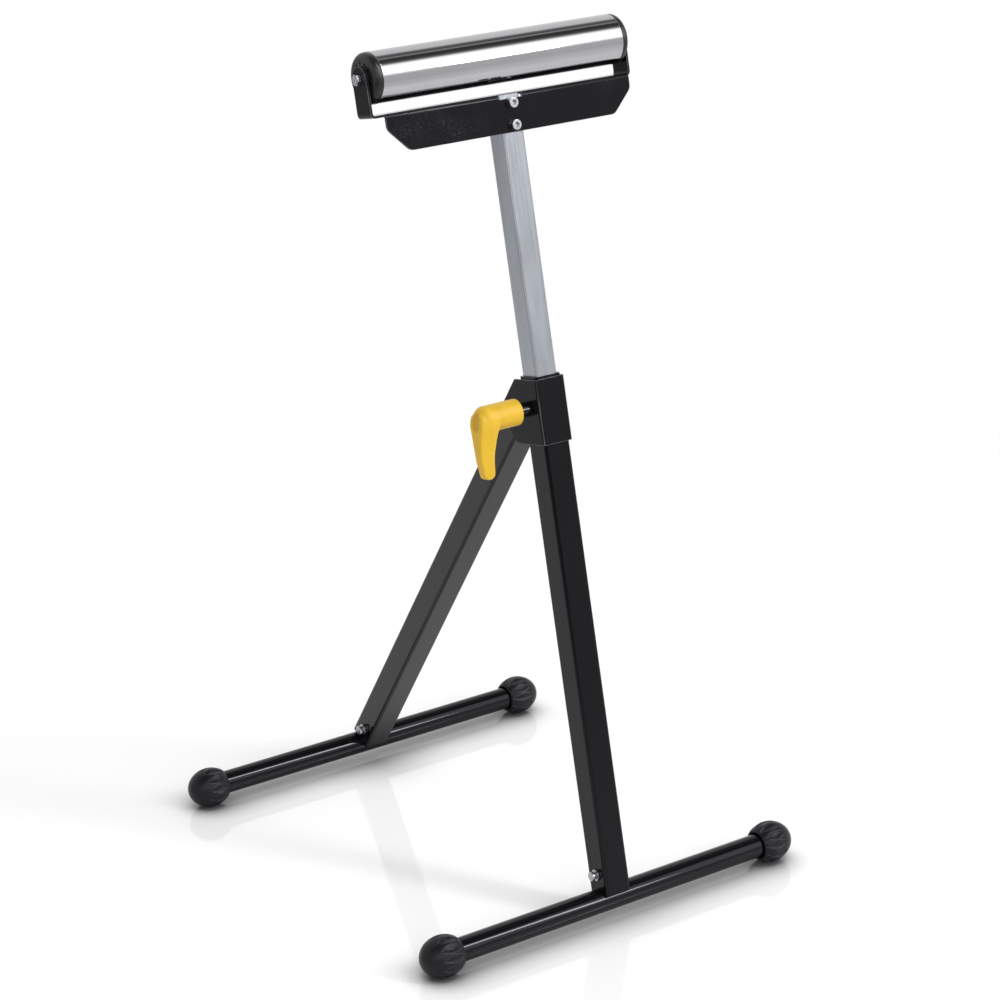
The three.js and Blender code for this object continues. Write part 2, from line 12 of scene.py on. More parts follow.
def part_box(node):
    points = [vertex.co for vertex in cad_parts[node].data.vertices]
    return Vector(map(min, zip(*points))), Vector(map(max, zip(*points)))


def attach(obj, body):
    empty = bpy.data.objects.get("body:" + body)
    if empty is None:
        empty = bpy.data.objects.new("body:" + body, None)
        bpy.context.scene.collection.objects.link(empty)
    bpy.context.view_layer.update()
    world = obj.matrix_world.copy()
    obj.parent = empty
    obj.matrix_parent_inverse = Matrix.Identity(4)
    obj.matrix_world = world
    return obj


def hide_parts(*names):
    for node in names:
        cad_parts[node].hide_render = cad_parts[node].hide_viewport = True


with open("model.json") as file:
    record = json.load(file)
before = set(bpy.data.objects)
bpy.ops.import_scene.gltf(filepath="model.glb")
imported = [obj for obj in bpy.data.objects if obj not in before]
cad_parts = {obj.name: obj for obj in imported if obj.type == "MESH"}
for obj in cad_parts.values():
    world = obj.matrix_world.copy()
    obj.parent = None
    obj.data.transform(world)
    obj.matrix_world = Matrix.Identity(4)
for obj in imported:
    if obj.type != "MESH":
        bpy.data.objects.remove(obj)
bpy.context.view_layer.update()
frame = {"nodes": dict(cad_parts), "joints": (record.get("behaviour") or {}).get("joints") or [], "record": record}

bl_info = {
    "name": "Roller Stand",
    "version": (1, 0, 0),
    "blender": (4, 5, 0),
    "location": "View3D > Sidebar > Roller Stand",
    "description": "Builds the visible pieces of a folding roller stand on its packed frame",
    "category": "Object",
}


def mm(value):
    """Millimetres in metres."""
    return value * 0.001


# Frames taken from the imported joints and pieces

JOINTS = {joint["name"]: joint for joint in frame["joints"]}


def middle(node):
    low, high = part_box(node)
    return (low + high) / 2


def extent(node):
    low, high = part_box(node)
    return high - low


SLIDE = Vector(JOINTS["mast_slide"]["axis"])
PIVOT = Vector(JOINTS["rear_leg_fold"]["pos_m"])
ROLLER_AXIS = Vector(JOINTS["roller_spin"]["pos_m"])
CLAMP_AXIS = Vector(JOINTS["clamp_turn"]["pos_m"])
FRONT_BAR = middle("front_foot_bar")
REAR_BAR = middle("rear_foot_bar")
FRONT_LEAN = atan2(SLIDE.y, SLIDE.z)
REAR_LEAN = atan2(REAR_BAR.y - PIVOT.y, PIVOT.z - REAR_BAR.z)
REAR_LENGTH = hypot(REAR_BAR.y - PIVOT.y, PIVOT.z - REAR_BAR.z)

# In each of these, x runs to the right, y to the back and z up the leg.
LEG = Matrix.Translation(FRONT_BAR) @ Matrix.Rotation(-FRONT_LEAN, 4, "X")
REAR_LEG = Matrix.Translation(REAR_BAR) @ Matrix.Rotation(REAR_LEAN, 4, "X")
CLAMP = Matrix.Translation((0, CLAMP_AXIS.y, CLAMP_AXIS.z)) @ Matrix.Rotation(-FRONT_LEAN, 4, "X")
ROLLER = Matrix.Translation(ROLLER_AXIS)

PIVOT_IN_LEG = LEG.inverted() @ PIVOT


# Settings a user would change


def length(name, description, default):
    return FloatProperty(name=name, description=description, default=default, min=0, unit="LENGTH", precision=4)


def colour(name, description, default):
    return FloatVectorProperty(
        name=name, description=description, default=default, size=3, min=0, max=1, subtype="COLOR"
    )


def share(name, description, default):
    return FloatProperty(name=name, description=description, default=default, min=0, max=1, subtype="FACTOR")


class StandSizes(bpy.types.PropertyGroup):
    """Sizes of the stand's pieces."""

    leg_width: length("Leg width", "Outside width of both legs", mm(30))
    leg_wall: length("Leg wall", "Sheet thickness of the legs", mm(1.5))
    leg_corner: length("Leg corner", "Outside corner radius of the legs", mm(3.5))
    leg_top: length("Front leg top", "End of the front leg above its bar", mm(541.5))
    bar_radius: length("Bar radius", "Outside radius of the foot bars", mm(12.5))
    cap_radius: length("Foot cap radius", "Largest radius of a foot cap", FRONT_BAR.z)
    cap_length: length("Foot cap length", "Length of a foot cap along its bar", mm(42))
    cap_flutes: IntProperty(name="Flutes", description="Flutes round a foot cap's mouth", default=12, min=3)
    flute_depth: length("Flute depth", "Depth of a foot cap's flutes", mm(1.25))
    mast_width: length("Mast width", "Outside width of the mast", mm(25))
    mast_corner: length("Mast corner", "Outside corner radius of the mast", mm(2.5))
    sheet_edge: length("Sheet edge", "Rounding of the painted sheet's edges", mm(0.45))
    roller_radius: length("Roller radius", "Outside radius of the roller", mm(25))
    roller_length: length("Roller length", "Length of the chromed tube", extent("roller_tube").x)
    roller_wall: length("Roller wall", "Wall of the chromed tube", mm(2))
    cap_holes: IntProperty(name="End cap holes", description="Holes round a roller end cap", default=12, min=0)
    boss_radius: length("Boss radius", "Radius of the lever screw's boss", mm(7.5))
    hub_radius: length("Hub radius", "Radius of the lever's hub", mm(13.4))
    grip_drop: length("Grip drop", "Reach of the lever's grip below its screw", mm(58.6))
    round_steps: IntProperty(name="Round steps", description="Facets round a turned piece", default=96, min=12)


class StandFinishes(bpy.types.PropertyGroup):
    """Colours and gloss of the stand's finishes."""

    tube_paint: colour("Tube paint", "Glossy black paint of the tubes", (0.0034, 0.0034, 0.0040))
    sheet_paint: colour("Sheet paint", "Black paint of the bent sheets", (0.0072, 0.0070, 0.0082))
    # Colour of paint worn thin along an edge, also used as a painted highlight on rounded edges, corners and folds
    edge_wear_and_highlight_colour: colour("Worn and highlighted edge", "Paint worn thin along an edge", (0.16, 0.16, 0.17))
    paint_scuff: colour("Paint scuff", "Paint where it is rubbed", (0.030, 0.029, 0.035))
    chrome: colour("Chrome", "Chromed roller", (0.445, 0.440, 0.455))
    zinc: colour("Zinc", "Zinc plated mast", (0.365, 0.383, 0.418))
    fastener: colour("Fasteners", "Bright plated screws and nuts", (0.42, 0.43, 0.45))
    lever: colour("Lever", "Moulded lever", (0.63, 0.388, 0.019))
    end_cap: colour("End caps", "Moulded roller end caps", (0.0058, 0.0058, 0.0064))
    rubber: colour("Rubber", "Foot caps", (0.0052, 0.0049, 0.0068))
    tube_gloss: share("Tube roughness", "Roughness of the tubes' paint", 0.07)
    sheet_gloss: share("Sheet roughness", "Roughness of the sheets' paint", 0.11)


class StandStudio(bpy.types.PropertyGroup):
    """Camera and light of the studio."""

    azimuth: FloatProperty(
        name="Azimuth", description="Camera's turn about the stand", default=radians(-34.168), subtype="ANGLE"
    )
    elevation: FloatProperty(
        name="Elevation", description="Camera's height angle", default=radians(20.603), subtype="ANGLE"
    )
    roll: FloatProperty(name="Roll", description="Camera's tilt", default=radians(-1.061), subtype="ANGLE")
    distance: length("Distance", "Camera to the stand's middle", mm(2965.81))
    lens: FloatProperty(name="Lens", description="Focal length", default=106.131, unit="CAMERA")
    key_power: FloatProperty(name="Key light", description="Power of the softbox", default=60, unit="POWER")
    floor: colour("Floor", "Pale floor", (0.80, 0.80, 0.80))
    # The contact shade is a painted shadow on the floor
    shade: colour("Contact shade", "Floor close under the stand", (0.11, 0.11, 0.115))
    floor_lift: FloatProperty(name="Floor lift", description="Brightness added to the seen floor", default=0.15, min=0)


def sizes():
    return bpy.context.scene.roller_stand_sizes


def finishes():
    return bpy.context.scene.roller_stand_finishes


def studio():
    return bpy.context.scene.roller_stand_studio


# Node helpers


def node(tree, kind, sockets=None, **settings):
    """A shader node with its settings made and its sockets filled or linked."""
    made = tree.nodes.new(kind)
    for key, value in settings.items():
        setattr(made, key, value)
    for socket, value in (sockets or {}).items():
        target = made.inputs[socket]
        if isinstance(value, bpy.types.NodeSocket):
            tree.links.new(value, target)
        else:
            target.default_value = value
    return made


def opaque(rgb):
    return (*rgb, 1.0)


def new_finish(name):
    """A material's node tree, its shader and its object coordinates."""
    material = bpy.data.materials.new(name)
    material.use_nodes = True
    tree = material.node_tree
    shader = tree.nodes["Principled BSDF"]
    place = node(tree, "ShaderNodeTexCoord").outputs["Object"]
    return material, tree, shader, place


def noise(tree, place, scale, detail=3.0, roughness=0.55):
    sockets = {"Vector": place, "Scale": scale, "Detail": detail, "Roughness": roughness}
    return node(tree, "ShaderNodeTexNoise", sockets).outputs["Fac"]


def spread(tree, value, from_low, from_high, to_low, to_high):
    sockets = {
        "Value": value,
        "From Min": from_low,
        "From Max": from_high,
        "To Min": to_low,
        "To Max": to_high,
    }
    return node(tree, "ShaderNodeMapRange", sockets).outputs["Result"]


def blend_colours(tree, factor, first, second):
    """Between two colours or colour sockets by a factor socket."""
    made = node(tree, "ShaderNodeMix", data_type="RGBA")
    tree.links.new(factor, made.inputs[0])
    for index, value in ((6, first), (7, second)):
        if isinstance(value, bpy.types.NodeSocket):
            tree.links.new(value, made.inputs[index])
        else:
            made.inputs[index].default_value = value
    return made.outputs[2]


def combine(tree, operation, first, second):
    return node(tree, "ShaderNodeMath", {0: first, 1: second}, operation=operation).outputs[0]


def relief(tree, height, strength, depth, under=None):
    """A bump normal from a height socket, over another normal."""
    sockets = {"Height": height, "Strength": strength, "Distance": depth}
    if under is not None:
        sockets["Normal"] = under
    return node(tree, "ShaderNodeBump", sockets).outputs["Normal"]


def turned_place(tree, place, matrix, cell):
    """Coordinates in a leaning frame, counted in cells of the given sizes."""
    sockets = {
        "Vector": place,
        "Location": matrix.to_translation(),
        "Rotation": matrix.to_euler(),
        "Scale": cell,
    }
    return node(tree, "ShaderNodeMapping", sockets, vector_type="TEXTURE").outputs["Vector"]


# Finishes


def black_paint(name, base, gloss, index, rubbed):
    """Black paint with rubbed patches, edges lightened partly as worn paint and partly as a painted highlight, a fine
    orange peel and small changes of gloss.
    """
    material, tree, shader, place = new_finish(name)
    looks = finishes()
    speckle = spread(tree, noise(tree, place, 420, 8, 0.75), 0.48, 0.70, 0, 1)
    patches = spread(tree, noise(tree, place, 17, 2), 0.55, 0.72, 0, rubbed)
    worn = combine(tree, "MULTIPLY", speckle, patches)
    flat_tint = blend_colours(tree, worn, opaque(base), opaque(looks.paint_scuff))
    # Edges marked on the edge layer are lightened: partly paint worn thin, partly a painted highlight
    edge = node(tree, "ShaderNodeAttribute", attribute_name="edge").outputs["Fac"]
    edge_wear_and_highlight_mask = combine(tree, "MULTIPLY", edge, spread(tree, noise(tree, place, 55, 4), 0.35, 0.65, 0.25, 1))
    tint = blend_colours(tree, edge_wear_and_highlight_mask, flat_tint, opaque(looks.edge_wear_and_highlight_colour))
    even = spread(tree, noise(tree, place, 24, 4), 0.3, 0.7, gloss * 0.75, gloss * 1.3)
    rough = combine(tree, "ADD", even, combine(tree, "MULTIPLY", worn, 0.35))
    peel = relief(tree, noise(tree, place, 620, 1), 0.03, mm(0.3))
    tree.links.new(tint, shader.inputs["Base Color"])
    tree.links.new(rough, shader.inputs["Roughness"])
    tree.links.new(peel, shader.inputs["Normal"])
    shader.inputs["IOR"].default_value = index
    shader.inputs["Specular Tint"].default_value = (0.92, 0.90, 1.0, 1)
    return material


def tube_paint():
    looks = finishes()
    return black_paint("black rear leg paint", looks.tube_paint, looks.tube_gloss, 1.35, 0.12)


def leg_paint():
    looks = finishes()
    return black_paint("black front leg paint", looks.tube_paint, looks.tube_gloss, 1.275, 0.12)


def bar_paint():
    looks = finishes()
    return black_paint("glossy black bar paint", looks.tube_paint, 0.5 * looks.tube_gloss, 1.31, 0.12)


def sheet_paint():
    looks = finishes()
    return black_paint("black sheet paint", looks.sheet_paint, looks.sheet_gloss, 1.21, 0.9)


def chrome():
    material, tree, shader, place = new_finish("bright chrome")
    looks = finishes()
    hazy = noise(tree, place, 30, 5, 0.6)
    tint = blend_colours(
        tree,
        spread(tree, hazy, 0.35, 0.7, 0, 1),
        opaque(looks.chrome),
        opaque([value * 0.95 for value in looks.chrome]),
    )
    rings = turned_place(tree, place, ROLLER, (mm(0.9), mm(40), mm(40)))
    polish = noise(tree, rings, 1, 4, 0.7)
    rough = combine(
        tree, "ADD", spread(tree, hazy, 0.4, 0.7, 0.03, 0.06), spread(tree, polish, 0.55, 0.8, 0, 0.03)
    )
    tree.links.new(tint, shader.inputs["Base Color"])
    tree.links.new(rough, shader.inputs["Roughness"])
    tree.links.new(relief(tree, polish, 0.012, mm(0.1)), shader.inputs["Normal"])
    shader.inputs["Metallic"].default_value = 1
    return material


def zinc():
    material, tree, shader, place = new_finish("zinc plated tube")
    looks = finishes()
    lines = noise(tree, turned_place(tree, place, LEG, (mm(0.7), mm(0.7), mm(160))), 1, 5, 0.7)
    cloud = noise(tree, turned_place(tree, place, LEG, (mm(16), mm(16), mm(90))), 1, 4)
    streak = combine(tree, "ADD", spread(tree, lines, 0.3, 0.7, 0, 0.6), spread(tree, cloud, 0.3, 0.7, 0, 0.4))
    plain = blend_colours(
        tree, streak, opaque([value * 0.80 for value in looks.zinc]), opaque([value * 1.08 for value in looks.zinc])
    )
    # Painted highlight: corners marked on the edge layer are coloured up to twice as bright
    edge = node(tree, "ShaderNodeAttribute", attribute_name="edge").outputs["Fac"]
    bright = opaque([min(1, value * 2) for value in looks.zinc])
    tint = blend_colours(tree, combine(tree, "MULTIPLY", edge, 0.8), plain, bright)
    rough = combine(tree, "ADD", spread(tree, cloud, 0.3, 0.7, 0.25, 0.33), spread(tree, lines, 0.3, 0.7, -0.03, 0.05))
    tree.links.new(tint, shader.inputs["Base Color"])
    tree.links.new(rough, shader.inputs["Roughness"])
    tree.links.new(relief(tree, lines, 0.12, mm(0.15)), shader.inputs["Normal"])
    shader.inputs["Metallic"].default_value = 1
    return material


def fastener_steel():
    material, tree, shader, place = new_finish("bright plated steel")
    looks = finishes()
    grain = noise(tree, place, 420, 4, 0.65)
    tint = blend_colours(
        tree,
        spread(tree, grain, 0.3, 0.7, 0, 1),
        opaque([value * 0.82 for value in looks.fastener]),
        opaque([value * 1.06 for value in looks.fastener]),
    )
    tree.links.new(tint, shader.inputs["Base Color"])
    tree.links.new(spread(tree, grain, 0.3, 0.7, 0.22, 0.34), shader.inputs["Roughness"])
    tree.links.new(relief(tree, grain, 0.05, mm(0.1)), shader.inputs["Normal"])
    shader.inputs["Metallic"].default_value = 1
    return material


def lever_plastic():
    material, tree, shader, place = new_finish("yellow moulded plastic")
    looks = finishes()
    cloud = noise(tree, place, 70, 4)
    tint = blend_colours(
        tree,
        spread(tree, cloud, 0.3, 0.7, 0, 1),
        opaque([value * 0.93 for value in looks.lever]),
        opaque([min(1, value * 1.05) for value in looks.lever]),
    )
    # Painted shade: the sunk recess on the grip's outer face is coloured darker and warmer
    sunk = node(tree, "ShaderNodeAttribute", attribute_name="sunk").outputs["Fac"]
    recess_shade = opaque((looks.lever[0] * 0.86, looks.lever[1] * 0.76, looks.lever[2] * 0.65))
    tint = blend_colours(tree, sunk, tint, recess_shade)
    grain = noise(tree, place, 1500, 2)
    grained = relief(tree, grain, 0.10, mm(0.12))
    across = turned_place(tree, place, CLAMP, (1, 1, 1))
    from_seam = node(tree, "ShaderNodeSeparateXYZ", {"Vector": across}).outputs["Y"]
    seam = spread(tree, combine(tree, "ABSOLUTE", from_seam, 0), mm(0.12), mm(0.42), 1, 0)
    tree.links.new(tint, shader.inputs["Base Color"])
    tree.links.new(spread(tree, cloud, 0.3, 0.7, 0.40, 0.50), shader.inputs["Roughness"])
    tree.links.new(relief(tree, seam, 0.25, mm(0.2), grained), shader.inputs["Normal"])
    shader.inputs["Specular IOR Level"].default_value = 0.38
    shader.inputs["Subsurface Weight"].default_value = 0.06
    shader.inputs["Subsurface Radius"].default_value = (mm(2), mm(1.2), mm(0.4))
    return material


def cap_plastic():
    material, tree, shader, place = new_finish("black moulded plastic")
    looks = finishes()
    cloud = noise(tree, place, 60, 5, 0.6)
    tint = blend_colours(
        tree,
        spread(tree, cloud, 0.35, 0.75, 0, 1),
        opaque(looks.end_cap),
        opaque([value * 1.9 for value in looks.end_cap]),
    )
    tree.links.new(tint, shader.inputs["Base Color"])
    tree.links.new(spread(tree, cloud, 0.3, 0.7, 0.27, 0.4), shader.inputs["Roughness"])
    tree.links.new(relief(tree, noise(tree, place, 1300, 2), 0.09, mm(0.12)), shader.inputs["Normal"])
    shader.inputs["IOR"].default_value = 1.43
    return material


def foot_rubber():
    material, tree, shader, place = new_finish("black rubber")
    looks = finishes()
    drawn = node(tree, "ShaderNodeMapping", {"Vector": place, "Scale": (0.14, 1, 1)}).outputs["Vector"]
    streaks = spread(tree, noise(tree, drawn, 700, 6, 0.65), 0.52, 0.70, 0, 1)
    patches = spread(tree, noise(tree, place, 60, 3), 0.42, 0.62, 0, 1)
    fluted = node(tree, "ShaderNodeAttribute", attribute_name="fluted").outputs["Fac"]
    rubbed = spread(tree, fluted, 0, 1, 0.25, 1)
    scuffs_and_highlights = combine(tree, "MULTIPLY", streaks, combine(tree, "MULTIPLY", patches, rubbed))
    # Lighter flute edges: partly rubbed rubber, partly a painted highlight
    ridged = node(tree, "ShaderNodeAttribute", attribute_name="ridged").outputs["Fac"]
    ridge_rub_and_highlight = combine(tree, "MULTIPLY", ridged, spread(tree, noise(tree, place, 90, 3), 0.4, 0.62, 0.05, 1))
    scuffs_and_highlights = combine(tree, "MAXIMUM", scuffs_and_highlights, ridge_rub_and_highlight)
    tint = blend_colours(
        tree, scuffs_and_highlights, opaque(looks.rubber), opaque([value * 14 for value in looks.rubber])
    )
    tree.links.new(tint, shader.inputs["Base Color"])
    tree.links.new(spread(tree, scuffs_and_highlights, 0, 1, 0.38, 0.6), shader.inputs["Roughness"])
    grain = relief(tree, noise(tree, place, 900, 3), 0.10, mm(0.15))
    tree.links.new(relief(tree, streaks, 0.12, mm(0.2), grain), shader.inputs["Normal"])
    shader.inputs["IOR"].default_value = 1.29
    return material


MAKERS = {
    "black_paint": tube_paint,
    "leg_paint": leg_paint,
    "bar_paint": bar_paint,
    "sheet_paint": sheet_paint,
    "chrome": chrome,
    "zinc": zinc,
    "steel": fastener_steel,
    "yellow_plastic": lever_plastic,
    "black_plastic": cap_plastic,
    "black_rubber": foot_rubber,
}
MADE = {}


def finish(name):
    """A named finish, made once."""
    if name not in MADE:
        MADE[name] = MAKERS[name]()
    return MADE[name]


# Mesh helpers


def rounded(corners, closed=False, turn=radians(12)):
    """A path through (a, b, radius) corners, each rounded by an arc."""
    path = []
    last = len(corners) - 1
    for index, (a, b, radius) in enumerate(corners):
        here = Vector((a, b))
        at_end = not closed and index in (0, last)
        if radius == 0 or at_end:
            path.append(here)
            continue
        before = (Vector(corners[index - 1][:2]) - here).normalized()
        after = (Vector(corners[(index + 1) % len(corners)][:2]) - here).normalized()
        half = before.angle(after) / 2
        centre = here + (before + after).normalized() * radius / sin(half)
        start = here + before * radius / tan(half) - centre
        end = here + after * radius / tan(half) - centre
        sweep = pi - 2 * half
        if (Matrix.Rotation(sweep, 2) @ start - end).length > (Matrix.Rotation(-sweep, 2) @ start - end).length:
            sweep = -sweep
        steps = max(2, ceil(abs(sweep) / turn))
        path += [centre + Matrix.Rotation(sweep * step / steps, 2) @ start for step in range(steps + 1)]
    return path


def spun(outline, steps, closed=False):
    """A turned shape about x from (along, radius) points, a closed ring or one that ends on the axis."""
    bm = bmesh.new()
    verts = [bm.verts.new((along, 0, radius)) for along, radius in outline]
    pairs = list(zip(verts, verts[1:]))
    if closed:
        pairs.append((verts[-1], verts[0]))
    edges = [bm.edges.new(pair) for pair in pairs]
    bmesh.ops.spin(
        bm, geom=verts + edges, cent=(0, 0, 0), axis=(1, 0, 0), angle=2 * pi, steps=steps, use_merge=True
    )
    bmesh.ops.remove_doubles(bm, verts=bm.verts, dist=1e-7)
    bmesh.ops.recalc_face_normals(bm, faces=bm.faces)
    return bm


def prism(outline, lift, reach):
    """An outline lifted into space by a function and pushed along reach into a solid."""
    bm = bmesh.new()
    face = bm.faces.new([bm.verts.new(lift(point)) for point in outline])
    pushed = bmesh.ops.extrude_face_region(bm, geom=[face], use_keep_orig=True)
    moved = [item for item in pushed["geom"] if isinstance(item, bmesh.types.BMVert)]
    bmesh.ops.translate(bm, verts=moved, vec=reach)
    bmesh.ops.recalc_face_normals(bm, faces=bm.faces)
    return bm


def square_tube(width, corner, wall, start, end):
    """A square tube with round corners along z."""
    bm = bmesh.new()
    bmesh.ops.create_grid(bm, x_segments=1, y_segments=1, size=width / 2)
    bmesh.ops.bevel(
        bm, geom=bm.verts[:], offset=corner, segments=7, profile=0.5, affect="VERTICES", material=-1
    )
    inside = bm.faces[:]
    ring = bmesh.ops.inset_region(
        bm, faces=inside, thickness=wall, use_even_offset=True, use_boundary=True
    )["faces"]
    bmesh.ops.delete(bm, geom=inside, context="FACES_ONLY")
    pushed = bmesh.ops.extrude_face_region(bm, geom=ring, use_keep_orig=True)
    moved = [item for item in pushed["geom"] if isinstance(item, bmesh.types.BMVert)]
    bmesh.ops.translate(bm, verts=bm.verts, vec=(0, 0, start))
    bmesh.ops.translate(bm, verts=moved, vec=(0, 0, end - start))
    bmesh.ops.recalc_face_normals(bm, faces=bm.faces)
    return bm


def rod(radius, start, end, steps=48):
    return spun([(start, 0), (start, radius), (end, radius), (end, 0)], steps)


def moved(bm, matrix):
    bmesh.ops.transform(bm, matrix=matrix, verts=bm.verts)
    return bm


def temporary(bm):
    mesh = bpy.data.meshes.new("working")
    bm.to_mesh(mesh)
    bm.free()
    made = bpy.data.objects.new("working", mesh)
    bpy.context.scene.collection.objects.link(made)
    return made


def discard(made):
    mesh = made.data
    bpy.data.objects.remove(made)
    bpy.data.meshes.remove(mesh)


def evaluated(made):
    """A bmesh of an object with its modifiers applied, in place of the object."""
    shape = made.evaluated_get(bpy.context.evaluated_depsgraph_get())
    bm = bmesh.new()
    bm.from_mesh(shape.to_mesh())
    shape.to_mesh_clear()
    discard(made)
    return bm


def joined(bm, other):
    """Two closed shapes in one mesh, to be fused by a remesh."""
    mesh = bpy.data.meshes.new("working")
    other.to_mesh(mesh)
    other.free()
    bm.from_mesh(mesh)
    bpy.data.meshes.remove(mesh)
    return bm


SLIVER = mm(0.004)


def cleaned(bm):
    """The mesh without doubled points and slivers."""
    bmesh.ops.remove_doubles(bm, verts=bm.verts, dist=SLIVER)
    bmesh.ops.dissolve_degenerate(bm, edges=bm.edges, dist=SLIVER)
    return bm


def carved(bm, *cutters, operation="DIFFERENCE"):
    """The shape with others cut from it, or joined to it."""
    body = temporary(bm)
    tools = [temporary(cutter) for cutter in cutters]
    for tool in tools:
        cut = body.modifiers.new("Cut", "BOOLEAN")
        cut.object = tool
        cut.operation = operation
        cut.solver = "EXACT"
    result = evaluated(body)
    for tool in tools:
        discard(tool)
    return cleaned(result)


def eased(bm, width, segments=2, angle=radians(40)):
    """Sharp edges rounded over by a small width; the rounded faces go on the edge layer, which the paint lightens
    partly as wear and partly as a painted highlight.
    """
    bmesh.ops.dissolve_limit(bm, angle_limit=radians(0.6), verts=bm.verts, edges=bm.edges)
    worn = bm.faces.layers.float.new("edge")
    sharp = [edge for edge in bm.edges if edge.is_manifold and edge.calc_face_angle(0) > angle]
    made = bmesh.ops.bevel(
        bm,
        geom=sharp,
        offset=width,
        offset_type="OFFSET",
        segments=segments,
        profile=0.5,
        affect="EDGES",
        clamp_overlap=False,
        material=-1,
    )
    for face in made["faces"]:
        face[worn] = 1
    return cleaned(bm)


def bends_highlighted(bm, place, amount):
    """Marks the middle of the round corners that run along z in a frame with a painted highlight, on the edge layer.
    """
    worn = bm.faces.layers.float.get("edge") or bm.faces.layers.float.new("edge")
    turn = place.to_3x3().inverted()
    for face in bm.faces:
        facing = turn @ face.normal
        if abs(facing.z) < 0.1 and abs(abs(facing.x) - abs(facing.y)) < 0.22:
            # worn holds a painted highlight here, set on the middle of each corner's round
            face[worn] = amount
    return bm


def fold_highlighted(bm, place, amount):
    """Marks a line on the round of an upper front fold that runs along x in a frame with a painted highlight, on the
    edge layer.
    """
    worn = bm.faces.layers.float.get("edge")
    turn = place.to_3x3().inverted()
    for face in bm.faces:
        facing = turn @ face.normal
        if abs(facing.x) < 0.1 and facing.y < -0.25 and 0.22 < facing.z < 0.50:
            # worn holds a painted highlight here, on the fold's round where it faces front and up
            face[worn] = amount
    return bm


def copy_of(node_name):
    """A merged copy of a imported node's mesh."""
    bm = bmesh.new()
    bm.from_mesh(frame["nodes"][node_name].data)
    bmesh.ops.remove_doubles(bm, verts=bm.verts, dist=1e-6)
    return bm


def piece(name, bm, place, slot, body, *replaced, sharp=radians(38), look=None):
    """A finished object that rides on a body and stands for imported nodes."""
    bmesh.ops.transform(bm, matrix=place, verts=bm.verts)
    mesh = bpy.data.meshes.new(name)
    bm.to_mesh(mesh)
    bm.free()
    mesh.materials.append(finish(look or slot))
    mesh.shade_smooth()
    mesh.set_sharp_from_angle(angle=sharp)
    made = bpy.data.objects.new(name, mesh)
    bpy.context.scene.collection.objects.link(made)
    even = made.modifiers.new("Even shading", "WEIGHTED_NORMAL")
    even.keep_sharp = True
    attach(made, body)
    if replaced:
        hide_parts(*replaced)
    return made


# Legs


def front_leg():
    look = sizes()
    tube = square_tube(look.leg_width, look.leg_corner, look.leg_wall, mm(6), look.leg_top)
    saddle = rod(look.bar_radius + mm(0.3), -look.leg_width, look.leg_width, look.round_steps)
    shape = carved(tube, saddle)
    piece("front_leg_tube", shape, LEG, "black_paint", "front_frame", "front_leg", look="leg_paint")


def rear_leg():
    tube = eased(copy_of("rear_leg"), mm(0.3))
    piece("rear_leg_tube", tube, Matrix(), "black_paint", "rear_frame", "rear_leg")


class ROLLERSTAND_OT_legs(bpy.types.Operator):
    """Build the two square legs."""

    bl_idname = "roller_stand.legs"
    bl_label = "Legs"

    def execute(self, context):
        front_leg()
        rear_leg()
        return {"FINISHED"}


# Foot bars and caps


def foot_bar(end, bar, body):
    look = sizes()
    half = extent(f"{end}_foot_bar").x / 2
    inner = look.bar_radius - mm(1.5)
    edge = mm(0.3)
    outline = rounded(
        [(-half, inner, edge), (-half, look.bar_radius, edge), (half, look.bar_radius, edge), (half, inner, edge)],
        closed=True,
    )
    tube = spun(outline, look.round_steps, closed=True)
    place = Matrix.Translation(bar)
    piece(f"{end}_bar_tube", tube, place, "black_paint", body, f"{end}_foot_bar", look="bar_paint")


BALL_REACH = mm(25)
MOUTH_DEPTH = mm(5)
END_WALL = mm(9)
FLUTE_END = 0.66


def foot_cap_shape():
    """An egg-shaped cap along x with its mouth at x = 0 and leaf-shaped flutes from the mouth."""
    look = sizes()
    widest = look.cap_length - BALL_REACH
    mouth_turn = -asin(widest / BALL_REACH)
    steps = 52
    shell = []
    for step in range(steps + 1):
        turn = mouth_turn + (pi / 2 - mouth_turn) * step / steps
        shell.append((widest + BALL_REACH * sin(turn), max(look.cap_radius * cos(turn), 0)))
    bore = look.bar_radius + mm(0.3)
    rim = shell[0][1]
    inside = [
        (look.cap_length - END_WALL, 0),
        (look.cap_length - END_WALL, bore),
        (MOUTH_DEPTH, bore),
        (mm(0.7), look.bar_radius + mm(1.3)),
        (mm(0.1), look.bar_radius + mm(1.9)),
        (0, rim - mm(0.7)),
        (mm(0.2), rim - mm(0.15)),
    ]
    bm = spun(inside + shell[1:], look.cap_flutes * 20)
    fluted = bm.verts.layers.float.new("fluted")
    ridged = bm.verts.layers.float.new("ridged")
    for vert in bm.verts:
        radius = hypot(vert.co.y, vert.co.z)
        share_along = vert.co.x / look.cap_length / FLUTE_END
        shell_radius = look.cap_radius * sqrt(max(0, 1 - ((vert.co.x - widest) / BALL_REACH) ** 2))
        if share_along >= 1 or radius < shell_radius - mm(0.6) or radius < mm(1):
            continue
        phase = atan2(vert.co.z, vert.co.y) * look.cap_flutes / (2 * pi) + 0.5
        across = abs(phase - round(phase)) * 2
        leaf = 0.80 * sin(pi * max(0, share_along - 0.03) / 0.97) ** 0.8
        # ridged marks the flute edges, which the rubber lightens as rubbing and as a painted highlight
        vert[ridged] = max(0, 1 - abs(across - leaf) / 0.12) * min(1, 4 * leaf)
        if across >= leaf:
            continue
        hollow = 1 - (across / leaf) ** 2
        depth = look.flute_depth * hollow * min(1, 3 * leaf)
        vert.co.y *= 1 - depth / radius
        vert.co.z *= 1 - depth / radius
        vert[fluted] = min(1, 2 * hollow)
    return bm


